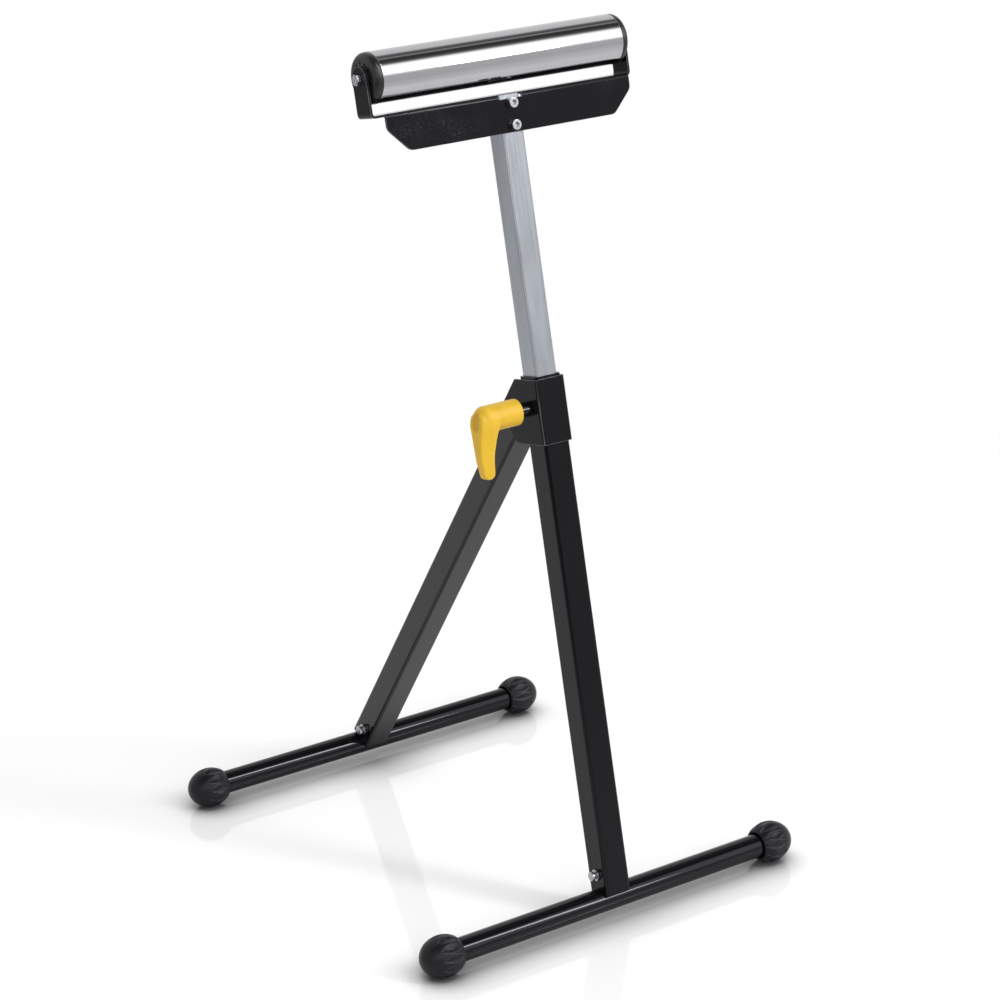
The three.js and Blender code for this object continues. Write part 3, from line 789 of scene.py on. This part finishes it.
def foot_caps(end, bar, body):
    look = sizes()
    start = extent("front_foot_bar").x / 2 + END_WALL + mm(0.3) - look.cap_length
    for side, turn in (("right", 0), ("left", pi)):
        place = Matrix.Translation(bar) @ Matrix.Rotation(turn, 4, "Z") @ Matrix.Translation((start, 0, 0))
        name = f"{end}_{side}_ball_foot"
        piece(name, foot_cap_shape(), place, "black_rubber", body, f"{end}_foot_cap_{side}", sharp=radians(13))


class ROLLERSTAND_OT_foot_bars(bpy.types.Operator):
    """Build the round foot bars."""

    bl_idname = "roller_stand.foot_bars"
    bl_label = "Foot bars"

    def execute(self, context):
        foot_bar("front", FRONT_BAR, "front_frame")
        foot_bar("rear", REAR_BAR, "rear_frame")
        return {"FINISHED"}


class ROLLERSTAND_OT_foot_caps(bpy.types.Operator):
    """Build the four fluted foot caps."""

    bl_idname = "roller_stand.foot_caps"
    bl_label = "Foot caps"

    def execute(self, context):
        foot_caps("front", FRONT_BAR, "front_frame")
        foot_caps("rear", REAR_BAR, "rear_frame")
        return {"FINISHED"}


# Hinge collar and boss


def hinge_collar():
    look = sizes()
    piece(
        "hinge_collar_sheet",
        # Painted highlight down the middle of the collar's bends, besides worn paint on its rounded edges
        bends_highlighted(eased(copy_of("hinge_collar"), look.sheet_edge), LEG, 0.6),
        Matrix(),
        "black_paint",
        "front_frame",
        "hinge_collar",
        look="sheet_paint",
    )


def lever_boss():
    look = sizes()
    low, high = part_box("clamp_boss")
    bore = mm(4.3)
    outline = rounded(
        [
            (high.x, bore, 0),
            (high.x, look.boss_radius, 0),
            (low.x, look.boss_radius, mm(0.9)),
            (low.x, bore, mm(0.5)),
        ],
        closed=True,
    )
    piece(
        "lever_boss_ring",
        spun(outline, look.round_steps, closed=True),
        CLAMP,
        "black_paint",
        "front_frame",
        "clamp_boss",
    )


class ROLLERSTAND_OT_collar(bpy.types.Operator):
    """Build the hinge collar and the lever's boss."""

    bl_idname = "roller_stand.collar"
    bl_label = "Hinge collar"

    def execute(self, context):
        hinge_collar()
        lever_boss()
        return {"FINISHED"}


# Fasteners, along x with the underside of a head or the face of a nut at x = 0

THREAD_PITCH = mm(1)


def threaded(radius, start, end):
    """Outline points of a threaded length, from its start to its chamfered end."""
    points = []
    crest = radius
    root = radius - 0.45 * THREAD_PITCH
    turns = int((end - start) / THREAD_PITCH)
    for turn in range(turns):
        points += [(start + turn * THREAD_PITCH, root), (start + (turn + 0.5) * THREAD_PITCH, crest)]
    points += [(end - mm(0.5), root), (end, root - mm(0.3)), (end, 0)]
    return points


def cap_screw(shank):
    head_radius = mm(5.2)
    head_height = mm(5.2)
    thread = mm(3)
    head = rounded(
        [(-head_height, 0, 0), (-head_height, head_radius, mm(0.7)), (0, head_radius, mm(0.2)), (0, thread, 0)]
    )
    ridges = 40
    bm = spun([*head, *threaded(thread, shank - mm(9), shank)], 2 * ridges)
    knurl = mm(0.12)
    for vert in bm.verts:
        radius = hypot(vert.co.y, vert.co.z)
        on_side = -head_height + mm(0.9) < vert.co.x < 0 and radius > head_radius - mm(0.05)
        if on_side and round(atan2(vert.co.z, vert.co.y) / (pi / ridges)) % 2:
            vert.co.y *= 1 - knurl / radius
            vert.co.z *= 1 - knurl / radius
    socket = hexagon(mm(5), -head_height - mm(1), -head_height + mm(3))
    return carved(bm, socket)


def pin_screw(shank):
    """A plain round head on a short neck, with a threaded end."""
    head = -mm(5.2)
    under = -mm(2.5)
    head_radius = mm(4.9)
    neck = mm(3.7)
    thread = mm(3)
    outline = rounded(
        [
            (head, 0, 0),
            (head, head_radius, mm(0.8)),
            (under, head_radius, mm(0.4)),
            (under, neck, mm(0.3)),
            (0, neck, mm(0.2)),
            (0, thread, 0),
        ]
    )
    return spun([*outline, *threaded(thread, shank - mm(9), shank)], 80)


def hexagon(flats, start, end):
    bm = bmesh.new()
    bmesh.ops.create_cone(
        bm,
        cap_ends=True,
        segments=6,
        radius1=flats / sqrt(3),
        radius2=flats / sqrt(3),
        depth=end - start,
        matrix=Matrix.Translation(((start + end) / 2, 0, 0)) @ Matrix.Rotation(pi / 2, 4, "Y"),
    )
    return bm


def hex_blank(flats, start, end):
    """A hexagon whose corners are turned down at both ends."""
    corner = flats / sqrt(3)
    drop = (corner - flats / 2) * 0.62
    cone = spun(
        [
            (start, 0),
            (start, flats / 2 * 0.97),
            (start + drop, corner * 1.01),
            (end - drop, corner * 1.01),
            (end, flats / 2 * 0.97),
            (end, 0),
        ],
        48,
    )
    return carved(hexagon(flats, start - drop, end + drop), cone, operation="INTERSECT")


def hex_nut(flats, height, thread):
    bore = rounded(
        [
            (-mm(1), 0, 0),
            (-mm(1), thread + mm(1.4), 0),
            (mm(0.4), thread, 0),
            (height - mm(0.4), thread, 0),
            (height + mm(1), thread + mm(1.4), 0),
            (height + mm(1), 0, 0),
        ]
    )
    return carved(hex_blank(flats, 0, height), spun(bore, 48))


def hex_bolt(flats, height, thread, shank):
    head = hex_blank(flats, -height, 0)
    body = spun([(-height / 2, 0), (-height / 2, thread), *threaded(thread, shank - mm(12), shank)], 48)
    return carved(head, body, operation="UNION")


def washer(radius, hole, thickness):
    edge = mm(0.25)
    outline = rounded(
        [(0, hole, edge), (0, radius, edge), (thickness, radius, edge), (thickness, hole, edge)], closed=True
    )
    return spun(outline, 64, closed=True)


SEAT = mm(0.3)
NUT_HEIGHT = mm(5)
WASHER_THICK = mm(1.4)
BOLT_TAIL = mm(1.5)
FOOT_SCREW_UP = mm(27.5)


def foot_fasteners(end, leg, body):
    half = sizes().leg_width / 2
    head = -half - WASHER_THICK - 2 * SEAT
    nut_face = half + SEAT
    at = Matrix.Translation((0, 0, FOOT_SCREW_UP))
    screw = pin_screw(nut_face + NUT_HEIGHT + BOLT_TAIL - head)
    place = leg @ at
    piece(
        f"{end}_foot_pin_screw",
        screw,
        place @ Matrix.Translation((head, 0, 0)),
        "steel",
        body,
        f"{end}_foot_screw",
        sharp=radians(30),
    )
    piece(
        f"{end}_foot_plain_washer",
        washer(mm(6), mm(3.3), WASHER_THICK),
        place @ Matrix.Translation((head + SEAT, 0, 0)),
        "steel",
        body,
        f"{end}_foot_washer",
    )
    piece(
        f"{end}_foot_hex_nut",
        hex_nut(mm(10), NUT_HEIGHT, mm(3.1)),
        place @ Matrix.Translation((nut_face, 0, 0)),
        "steel",
        body,
        f"{end}_foot_nut",
        sharp=radians(25),
    )


SCREW_UP = {"upper": mm(809), "lower": mm(787.5)}
PLATE_FRONT = -mm(15.3)


def bracket_fasteners():
    half = sizes().mast_width / 2
    head = PLATE_FRONT - SEAT
    washer_face = half + SEAT
    nut_face = washer_face + WASHER_THICK + SEAT
    shank = nut_face + NUT_HEIGHT + BOLT_TAIL - head
    for spot, up in SCREW_UP.items():
        through = LEG @ Matrix.Translation((0, 0, up)) @ Matrix.Rotation(pi / 2, 4, "Z")
        parts = (
            ("screw", cap_screw(shank), head),
            ("washer", washer(mm(6), mm(3.3), WASHER_THICK), washer_face),
            ("nut", hex_nut(mm(10), NUT_HEIGHT, mm(3.1)), nut_face),
        )
        for kind, shape, along in parts:
            piece(
                f"plate_{kind}_{spot}",
                shape,
                through @ Matrix.Translation((along, 0, 0)),
                "steel",
                "mast",
                f"bracket_{kind}_{spot}",
                sharp=radians(28),
            )


def pivot_fasteners():
    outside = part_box("hinge_collar")[1].x + SEAT
    nut_height = mm(8)
    place = Matrix.Translation(PIVOT) @ Matrix.Rotation(-FRONT_LEAN, 4, "X")
    bolt = hex_bolt(mm(13), mm(5.3), mm(4), 2 * outside + nut_height + BOLT_TAIL)
    piece(
        "pivot_hex_bolt",
        bolt,
        place @ Matrix.Translation((-outside, 0, 0)),
        "steel",
        "front_frame",
        "pivot_bolt",
        sharp=radians(25),
    )
    piece(
        "pivot_hex_nut",
        hex_nut(mm(13), nut_height, mm(4.1)),
        place @ Matrix.Translation((outside, 0, 0)),
        "steel",
        "front_frame",
        "pivot_nut",
        sharp=radians(25),
    )


class ROLLERSTAND_OT_fasteners(bpy.types.Operator):
    """Build the screws, washers and nuts."""

    bl_idname = "roller_stand.fasteners"
    bl_label = "Fasteners"

    def execute(self, context):
        foot_fasteners("front", LEG, "front_frame")
        foot_fasteners("rear", REAR_LEG, "rear_frame")
        bracket_fasteners()
        pivot_fasteners()
        return {"FINISHED"}


# Mast and roller bracket

MAST_BOTTOM = mm(292)
MAST_TOP = mm(815.2)
MAST_TAB = mm(2)


def mast():
    look = sizes()
    tube = square_tube(look.mast_width, look.mast_corner, mm(1.5), MAST_BOTTOM, MAST_TOP + MAST_TAB)
    outline = [
        (MAST_TAB - look.mast_width / 2, MAST_TOP),
        (look.mast_width, MAST_TOP),
        (look.mast_width, MAST_TOP + 2 * MAST_TAB),
        (MAST_TAB - look.mast_width / 2, MAST_TOP + 2 * MAST_TAB),
    ]
    behind_tab = prism(
        outline, lambda point: (-look.mast_width, point[0], point[1]), (2 * look.mast_width, 0, 0)
    )
    # Painted highlight down the middle of the mast's four corners
    shape = bends_highlighted(carved(tube, behind_tab), Matrix(), 1)
    piece("mast_square_tube", shape, LEG, "zinc", "mast", "mast_tube")


def bracket():
    look = sizes()
    piece(
        "roller_bracket_sheet",
        # Painted highlight along the bracket's upper front fold
        fold_highlighted(eased(copy_of("roller_bracket"), look.sheet_edge), LEG, 0.9),
        Matrix(),
        "black_paint",
        "mast",
        "roller_bracket",
        look="sheet_paint",
    )


class ROLLERSTAND_OT_mast(bpy.types.Operator):
    """Build the zinc plated mast."""

    bl_idname = "roller_stand.mast"
    bl_label = "Mast"

    def execute(self, context):
        mast()
        return {"FINISHED"}


class ROLLERSTAND_OT_bracket(bpy.types.Operator):
    """Build the bent sheet bracket."""

    bl_idname = "roller_stand.bracket"
    bl_label = "Roller bracket"

    def execute(self, context):
        bracket()
        return {"FINISHED"}


# Roller, its end caps, bearings and axle

CAP_BULGE = mm(7.8)
CAP_SPIGOT = mm(20)
HOLE_RING = mm(15.2)
HOLE_RADIUS = mm(1.15)
HOLE_DEPTH = mm(4)
BEARING_RADIUS = mm(11)
BEARING_WIDTH = mm(7)
BEARING_INSET = mm(0.7)
AXLE_RADIUS = mm(4)
SPACER_RADIUS = mm(6)
EAR_INSIDE = mm(149)
EAR_OUTSIDE = mm(151.5)


def roller_tube():
    look = sizes()
    half = look.roller_length / 2
    inner = look.roller_radius - look.roller_wall
    edge = mm(0.7)
    outline = rounded(
        [
            (-half, inner, edge),
            (-half, look.roller_radius, edge),
            (half, look.roller_radius, edge),
            (half, inner, edge),
        ],
        closed=True,
    )
    shape = spun(outline, 2 * look.round_steps, closed=True)
    piece("roller_chrome_tube", shape, ROLLER, "chrome", "roller", "roller_tube")


def end_cap_shape():
    """A moulded cap along x about the roller's middle, with a round shoulder and a ring of holes."""
    look = sizes()
    half = look.roller_length / 2
    face = half + CAP_BULGE
    rim = look.roller_radius - mm(0.3)
    spigot = look.roller_radius - look.roller_wall - mm(0.3)
    pocket = face - BEARING_WIDTH - BEARING_INSET - mm(0.3)
    bore = SPACER_RADIUS + mm(1)
    outline = rounded(
        [
            (half - CAP_SPIGOT, bore, 0),
            (half - CAP_SPIGOT, spigot, mm(0.8)),
            (half + mm(0.3), spigot, 0),
            (half + mm(0.3), rim, mm(0.4)),
            (face, rim, mm(5.2)),
            (face, BEARING_RADIUS + mm(0.2), mm(0.5)),
            (pocket, BEARING_RADIUS + mm(0.2), 0),
            (pocket, bore, 0),
        ],
        closed=True,
        turn=radians(9),
    )
    shape = spun(outline, look.round_steps, closed=True)
    cutters = bmesh.new()
    for index in range(look.cap_holes):
        turn = Matrix.Rotation((index + 0.5) / look.cap_holes * 2 * pi, 4, "X")
        cone = Matrix.Translation((face - HOLE_DEPTH / 2 + mm(0.2), 0, HOLE_RING)) @ Matrix.Rotation(pi / 2, 4, "Y")
        bmesh.ops.create_cone(
            cutters,
            cap_ends=True,
            segments=20,
            radius1=HOLE_RADIUS,
            radius2=HOLE_RADIUS * 1.12,
            depth=HOLE_DEPTH,
            matrix=turn @ cone,
        )
    return carved(shape, cutters)


def bearing_shape():
    """A shielded bearing: outer ring, sunk shield and inner ring."""
    face = sizes().roller_length / 2 + CAP_BULGE - BEARING_INSET
    back = face - BEARING_WIDTH
    inner = AXLE_RADIUS + mm(0.3)
    sink = mm(0.5)
    outline = rounded(
        [
            (back, inner, mm(0.3)),
            (back, BEARING_RADIUS, mm(0.3)),
            (face, BEARING_RADIUS, mm(0.3)),
            (face, BEARING_RADIUS - mm(1.6), mm(0.15)),
            (face - sink, BEARING_RADIUS - mm(1.8), mm(0.15)),
            (face - sink, inner + mm(2.2), mm(0.15)),
            (face, inner + mm(2), mm(0.15)),
            (face, inner, mm(0.3)),
        ],
        closed=True,
    )
    return spun(outline, sizes().round_steps, closed=True)


def spacer_shape():
    start = sizes().roller_length / 2 + CAP_BULGE - BEARING_INSET + mm(0.3)
    end = EAR_INSIDE - mm(0.3)
    hole = AXLE_RADIUS + mm(0.3)
    edge = mm(0.3)
    outline = rounded(
        [(start, hole, 0), (start, SPACER_RADIUS, edge), (end, SPACER_RADIUS, edge), (end, hole, 0)], closed=True
    )
    return spun(outline, 64, closed=True)


def axle():
    shoulder = EAR_INSIDE - mm(0.3)
    thread = mm(3)
    end = EAR_OUTSIDE + mm(0.3) + mm(4.2) + mm(0.8)
    half = [(shoulder, AXLE_RADIUS), (shoulder, thread), *threaded(thread, EAR_OUTSIDE, end)]
    other = [(-along, radius) for along, radius in reversed(half)]
    piece("roller_axle_rod", spun(other + half, 48), ROLLER, "steel", "mast", "roller_axle")


def roller_ends():
    for side, turn in (("right", 0), ("left", pi)):
        place = ROLLER @ Matrix.Rotation(turn, 4, "Z")
        piece(
            f"roller_cap_{side}", end_cap_shape(), place, "black_plastic", "roller", f"roller_end_cap_{side}"
        )
        piece(f"ball_bearing_{side}", bearing_shape(), place, "steel", "roller", f"roller_bearing_{side}")
        piece(f"axle_sleeve_{side}", spacer_shape(), place, "steel", "mast", f"axle_spacer_{side}")
        nut_place = place @ Matrix.Translation((EAR_OUTSIDE + mm(0.3), 0, 0))
        nut = hex_nut(mm(10), mm(4.2), mm(3.1))
        piece(f"axle_hex_nut_{side}", nut, nut_place, "steel", "mast", f"axle_nut_{side}", sharp=radians(25))


class ROLLERSTAND_OT_roller(bpy.types.Operator):
    """Build the roller with its end caps, bearings and axle."""

    bl_idname = "roller_stand.roller"
    bl_label = "Roller"

    def execute(self, context):
        roller_tube()
        axle()
        roller_ends()
        return {"FINISHED"}


# Lever screw

GRIP_EDGE = mm(1.6)
GRIP_HALF = mm(10)
GRIP_SLOPE = mm(15)
OUTER_ROUND = mm(3)
OUTER_ROLL = 0.16
VOXEL = mm(0.36)

# Half the grip's depth at heights from the screw's axis, in millimetres
GRIP_DEPTHS = (
    (9, 10.2),
    (4, 13.2),
    (0, 14.4),
    (-6, 14.0),
    (-12, 13.0),
    (-20, 11.2),
    (-30, 9.5),
    (-45, 8.2),
    (-59, 7.2),
)

# How far the grip's outer face stands out past the hub's end at heights, in millimetres
GRIP_BULGE = ((9, -0.4), (-4, 2.6), (-22, 4.6), (-40, 4.5), (-62, 2.0))

# The outer face's part of the grip's depth at heights in millimetres
OUTER_SHARES = ((9, 0.56), (4, 0.74), (-4, 0.80), (-20, 0.64), (-60, 0.64))


def at_height(rows, up):
    """Read a table of heights in millimetres at a height in metres."""
    if up >= mm(rows[0][0]):
        return rows[0][1]
    for (high, first), (low, second) in zip(rows, rows[1:]):
        if up >= mm(low):
            return first + (second - first) * (mm(high) - up) / mm(high - low)
    return rows[-1][1]


def grip_shape(outer):
    """The grip that hangs from the hub's outer end, with its long edges rounded over."""
    drop = -sizes().grip_drop
    outline = rounded(
        [
            (outer + mm(0.4), mm(9), mm(7.5)),
            (outer + mm(22.5), mm(9), mm(1)),
            (outer + mm(22.5), mm(1), mm(5)),
            (outer + mm(15.2), mm(-15), mm(14)),
            (outer + mm(9.9), mm(-36), mm(40)),
            (outer + mm(8.8), drop, mm(5.6)),
            (outer - mm(2.0), drop, mm(5.6)),
            (outer - mm(4.5), mm(-40), mm(40)),
            (outer - mm(4.6), mm(-22), mm(30)),
            (outer - mm(2.6), mm(-4), mm(20)),
        ],
        closed=True,
    )
    bm = prism(outline, lambda point: (point[0], -GRIP_HALF, point[1]), (0, 2 * GRIP_HALF, 0))
    rim = [
        edge
        for edge in bm.edges
        if edge.calc_face_angle(0) > radians(60)
        and all(abs(vert.co.y) > GRIP_HALF - mm(0.01) for vert in edge.verts)
    ]
    bmesh.ops.bevel(
        bm, geom=rim, offset=GRIP_EDGE, segments=4, profile=0.5, affect="EDGES", clamp_overlap=False, material=-1
    )
    cuts = [((0, 0, mm(height)), (0, 0, 1)) for height, _ in GRIP_DEPTHS[1:-1]]
    cuts += [((outer + mm(across), 0, 0), (1, 0, 0)) for across in range(-3, 11)]
    for point, normal in cuts:
        bmesh.ops.bisect_plane(bm, geom=[*bm.verts, *bm.edges, *bm.faces], plane_co=point, plane_no=normal)
    for vert in bm.verts:
        up = vert.co.z
        inward = max(0, vert.co.x - outer + mm(at_height(GRIP_BULGE, up)))
        least = at_height(OUTER_SHARES, up)
        rolled = max(0, 1 - inward / OUTER_ROUND)
        share = least + (1 - least) * min(1, inward / GRIP_SLOPE)
        share -= OUTER_ROLL * (1 - sqrt(1 - rolled * rolled))
        vert.co.y *= share * mm(at_height(GRIP_DEPTHS, up)) / GRIP_HALF
    return bm


def lever():
    look = sizes()
    low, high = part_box("clamp_lever")
    outer = low.x + mm(3.4)
    hub = spun(
        rounded(
            [
                (high.x, 0, 0),
                (high.x, look.hub_radius, mm(1.2)),
                (outer, look.hub_radius, mm(9.5)),
                (outer, 0, 0),
            ]
        ),
        look.round_steps,
    )
    whole = temporary(joined(hub, grip_shape(outer)))
    remesh = whole.modifiers.new("Blend", "REMESH")
    remesh.mode = "VOXEL"
    remesh.voxel_size = VOXEL
    soften = whole.modifiers.new("Soften", "SMOOTH")
    soften.factor = 0.5
    soften.iterations = 1
    bm = evaluated(whole)
    # The recess is marked as sunk for the plastic's painted shade
    sunk = bm.verts.layers.float.new("sunk")
    for vert in bm.verts:
        oval = (vert.co.y / mm(6.6)) ** 2 + ((vert.co.z + mm(1.5)) / mm(9.4)) ** 2
        if vert.co.x < outer + mm(6) and oval < 1:
            vert.co.x += mm(1.7) * min(1, 2.5 * (1 - oval))
            vert[sunk] = min(1, 4 * (1 - oval))
    piece("lever_handle", bm, CLAMP, "yellow_plastic", "clamp_handle", "clamp_lever", sharp=radians(80))


def lever_stud():
    low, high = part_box("clamp_stud")
    crest = mm(4)
    root = crest - mm(0.55)
    pitch = mm(1.25)
    outline = [(low.x, 0), (low.x, root)]
    turns = int((high.x - low.x) / pitch) - 1
    for turn in range(turns):
        start = low.x + turn * pitch
        outline += [(start + 0.15 * pitch, root), (start + 0.5 * pitch, crest)]
    outline += [(high.x - mm(0.6), root), (high.x, root - mm(0.5)), (high.x, 0)]
    piece("lever_stud_thread", spun(outline, 48), CLAMP, "steel", "clamp_handle", "clamp_stud", sharp=radians(30))


class ROLLERSTAND_OT_lever(bpy.types.Operator):
    """Build the lever and its threaded stud."""

    bl_idname = "roller_stand.lever"
    bl_label = "Lever screw"

    def execute(self, context):
        lever()
        lever_stud()
        return {"FINISHED"}


class ROLLERSTAND_OT_inner_finishes(bpy.types.Operator):
    """Give the pieces inside the tubes their finishes."""

    bl_idname = "roller_stand.inner_finishes"
    bl_label = "Inner pieces"

    def execute(self, context):
        slots = {row["node"]: row["material_slot"] for row in frame["record"]["subparts"]}
        for name, inner in frame["nodes"].items():
            inner.data.materials.clear()
            inner.data.materials.append(finish(slots[name]))
        return {"FINISHED"}


# Stage

LOOK_AT = Vector((0, mm(-83), mm(450)))
PHOTO_SHIFT = (mm(-21.325), mm(-39.787))

# Light banks of the studio: angle from straight up towards the front, in degrees, and brightness
BANKS = (
    (-180, 0.95),
    (-92, 0.98),
    (-29, 1.04),
    (-24, 0.60),
    (-20, 0.30),
    (-15, 0.18),
    (-8, 0.13),
    (-4, 0.38),
    (0, 0.42),
    (3, 0.07),
    (16, 0.07),
    (20, 0.13),
    (24, 0.23),
    (28, 0.55),
    (32, 1.50),
    (36, 2.15),
    (40, 2.35),
    (70, 2.40),
    (76, 1.20),
    (81, 0.80),
    (120, 0.82),
    (180, 0.95),
)


# Direction of the unlit side of the room, behind the camera
ROOM_SIDE = (-0.56, -0.83, 0.0)


def photo_camera():
    look = studio()
    back = Vector(
        (
            sin(look.azimuth) * cos(look.elevation),
            -cos(look.azimuth) * cos(look.elevation),
            sin(look.elevation),
        )
    )
    level = Vector((cos(look.azimuth), sin(look.azimuth), 0))
    upright = back.cross(level)
    right = cos(look.roll) * level + sin(look.roll) * upright
    up = -sin(look.roll) * level + cos(look.roll) * upright
    eye = LOOK_AT + back * look.distance + right * PHOTO_SHIFT[0] + up * PHOTO_SHIFT[1]
    lens = bpy.data.cameras.new("photo camera")
    lens.lens = look.lens
    lens.sensor_width = 36
    lens.clip_end = 50
    camera = bpy.data.objects.new("photo camera", lens)
    camera.matrix_world = Matrix.Translation(eye) @ Matrix((right, up, back)).transposed().to_4x4()
    bpy.context.scene.collection.objects.link(camera)
    bpy.context.scene.camera = camera


def studio_world():
    world = bpy.data.worlds.new("studio")
    bpy.context.scene.world = world
    world.use_nodes = True
    tree = world.node_tree
    background = tree.nodes["Background"]
    direction = node(tree, "ShaderNodeTexCoord").outputs["Generated"]
    parts = node(tree, "ShaderNodeSeparateXYZ", {"Vector": direction})
    front = combine(tree, "MULTIPLY", parts.outputs["Y"], -1)
    angle = combine(tree, "ARCTAN2", front, parts.outputs["Z"])
    along = spread(tree, angle, -pi, pi, 0, 1)
    banks = node(tree, "ShaderNodeValToRGB", {"Fac": along})
    ramp = banks.color_ramp
    ramp.interpolation = "LINEAR"
    while len(ramp.elements) < len(BANKS):
        ramp.elements.new(1)
    for element, (degrees_up, level) in zip(ramp.elements, BANKS):
        element.position = (degrees_up + 180) / 360
        element.color = (level, level, level, 1)
    sideways = combine(tree, "ABSOLUTE", parts.outputs["X"], 0)
    past_banks = spread(tree, sideways, 0.70, 0.85, 0, 1)
    rays = node(tree, "ShaderNodeLightPath").outputs
    seen = combine(tree, "MAXIMUM", rays["Is Camera Ray"], rays["Is Transmission Ray"])
    toward = node(tree, "ShaderNodeVectorMath", {0: direction, 1: ROOM_SIDE}, operation="DOT_PRODUCT").outputs["Value"]
    unlit = spread(tree, toward, 0.78, 0.93, 1, 0.12)
    level = combine(tree, "MAXIMUM", unlit, spread(tree, parts.outputs["Z"], 0.06, 0.14, 0, 1))
    walls = blend_colours(tree, past_banks, banks.outputs["Color"], (1, 1, 1, 1))
    tree.links.new(blend_colours(tree, seen, walls, (1, 1, 1, 1)), background.inputs["Color"])
    tree.links.new(combine(tree, "MAXIMUM", level, seen), background.inputs["Strength"])


def floor_finish():
    """A pale floor that keeps the stand's shadows, has a painted contact shadow close under the stand, and is white
    further off.
    """
    material, tree, shader, place = new_finish("pale floor")
    # Painted contact shadow: the floor's colour and its lift darken by ambient occlusion near the stand
    open_sky = node(tree, "ShaderNodeAmbientOcclusion", {"Distance": 0.08}, samples=16).outputs["AO"]
    clear = spread(tree, open_sky, 0.35, 0.91, 0, 1)
    tint = blend_colours(tree, clear, opaque(studio().shade), opaque(studio().floor))
    tree.links.new(tint, shader.inputs["Base Color"])
    shader.inputs["Roughness"].default_value = 0.05
    shader.inputs["Specular IOR Level"].default_value = 0.45
    rays = node(tree, "ShaderNodeLightPath").outputs
    metal = combine(tree, "MAXIMUM", rays["Is Glossy Ray"], rays["Is Transmission Ray"])
    seen = combine(tree, "MAXIMUM", rays["Is Camera Ray"], metal)
    lifted = combine(tree, "MULTIPLY", combine(tree, "MULTIPLY", seen, clear), studio().floor_lift)
    lift = node(tree, "ShaderNodeEmission", {"Strength": lifted})
    near = node(tree, "ShaderNodeAddShader", {0: shader.outputs[0], 1: lift.outputs[0]})
    toward = node(tree, "ShaderNodeVectorMath", {0: place, 1: ROOM_SIDE}, operation="DOT_PRODUCT").outputs["Value"]
    reach = node(tree, "ShaderNodeVectorMath", {0: place}, operation="LENGTH").outputs["Value"]
    fade = spread(tree, toward, 0.3, 1.6, 1.0, 0.78)
    aside = node(tree, "ShaderNodeSeparateXYZ", {"Vector": place}).outputs["X"]
    fade = combine(tree, "MULTIPLY", fade, spread(tree, aside, -2.0, -0.7, 0.55, 1.0))
    brightness = combine(tree, "MAXIMUM", fade, rays["Is Camera Ray"])
    white = node(tree, "ShaderNodeEmission", {"Strength": brightness})
    far = combine(tree, "MULTIPLY", spread(tree, reach, 0.75, 1.5, 0, 1), seen)
    mixed = node(tree, "ShaderNodeMixShader", {0: far, 1: near.outputs[0], 2: white.outputs[0]})
    tree.links.new(mixed.outputs[0], tree.nodes["Material Output"].inputs["Surface"])
    return material


def floor():
    bm = bmesh.new()
    bmesh.ops.create_circle(bm, cap_ends=True, segments=96, radius=12)
    mesh = bpy.data.meshes.new("floor")
    bm.to_mesh(mesh)
    bm.free()
    mesh.materials.append(floor_finish())
    made = bpy.data.objects.new("floor", mesh)
    bpy.context.scene.collection.objects.link(made)


def light_bank(name, place, aim, width, height, power):
    lamp = bpy.data.lights.new(name, "AREA")
    lamp.shape = "RECTANGLE"
    lamp.size = width
    lamp.size_y = height
    lamp.energy = power
    made = bpy.data.objects.new(name, lamp)
    away = (Vector(place) - Vector(aim)).to_track_quat("Z", "Y")
    made.matrix_world = Matrix.Translation(place) @ away.to_matrix().to_4x4()
    bpy.context.scene.collection.objects.link(made)


class ROLLERSTAND_OT_stage(bpy.types.Operator):
    """Set the floor, the studio light and the camera."""

    bl_idname = "roller_stand.stage"
    bl_label = "Stage"

    def execute(self, context):
        photo_camera()
        studio_world()
        floor()
        light_bank("softbox", (1.64, -2.47, 3.11), (-0.1, 0, 0.4), 0.24, 3.5, studio().key_power)
        context.scene.view_settings.view_transform = "Standard"
        return {"FINISHED"}


STEPS = (
    ROLLERSTAND_OT_stage,
    ROLLERSTAND_OT_inner_finishes,
    ROLLERSTAND_OT_legs,
    ROLLERSTAND_OT_foot_bars,
    ROLLERSTAND_OT_foot_caps,
    ROLLERSTAND_OT_collar,
    ROLLERSTAND_OT_fasteners,
    ROLLERSTAND_OT_mast,
    ROLLERSTAND_OT_bracket,
    ROLLERSTAND_OT_roller,
    ROLLERSTAND_OT_lever,
)


class ROLLERSTAND_PT_panel(bpy.types.Panel):
    """Lists the stand's settings and building steps."""

    bl_idname = "ROLLERSTAND_PT_panel"
    bl_label = "Roller Stand"
    bl_space_type = "VIEW_3D"
    bl_region_type = "UI"
    bl_category = "Roller Stand"

    def draw(self, context):
        for group in (sizes(), finishes(), studio()):
            box = self.layout.box()
            for key in group.bl_rna.properties.keys():
                if key not in ("rna_type", "name"):
                    box.prop(group, key)
        for step in STEPS:
            self.layout.operator(step.bl_idname)


CLASSES = (StandSizes, StandFinishes, StandStudio, *STEPS, ROLLERSTAND_PT_panel)


def register():
    for cls in CLASSES:
        bpy.utils.register_class(cls)
    bpy.types.Scene.roller_stand_sizes = PointerProperty(type=StandSizes)
    bpy.types.Scene.roller_stand_finishes = PointerProperty(type=StandFinishes)
    bpy.types.Scene.roller_stand_studio = PointerProperty(type=StandStudio)


def unregister():
    del bpy.types.Scene.roller_stand_studio
    del bpy.types.Scene.roller_stand_finishes
    del bpy.types.Scene.roller_stand_sizes
    for cls in reversed(CLASSES):
        bpy.utils.unregister_class(cls)


def main():
    register()
    for step in STEPS:
        family, action = step.bl_idname.split(".")
        getattr(getattr(bpy.ops, family), action)()


if __name__ == "__main__":
    main()
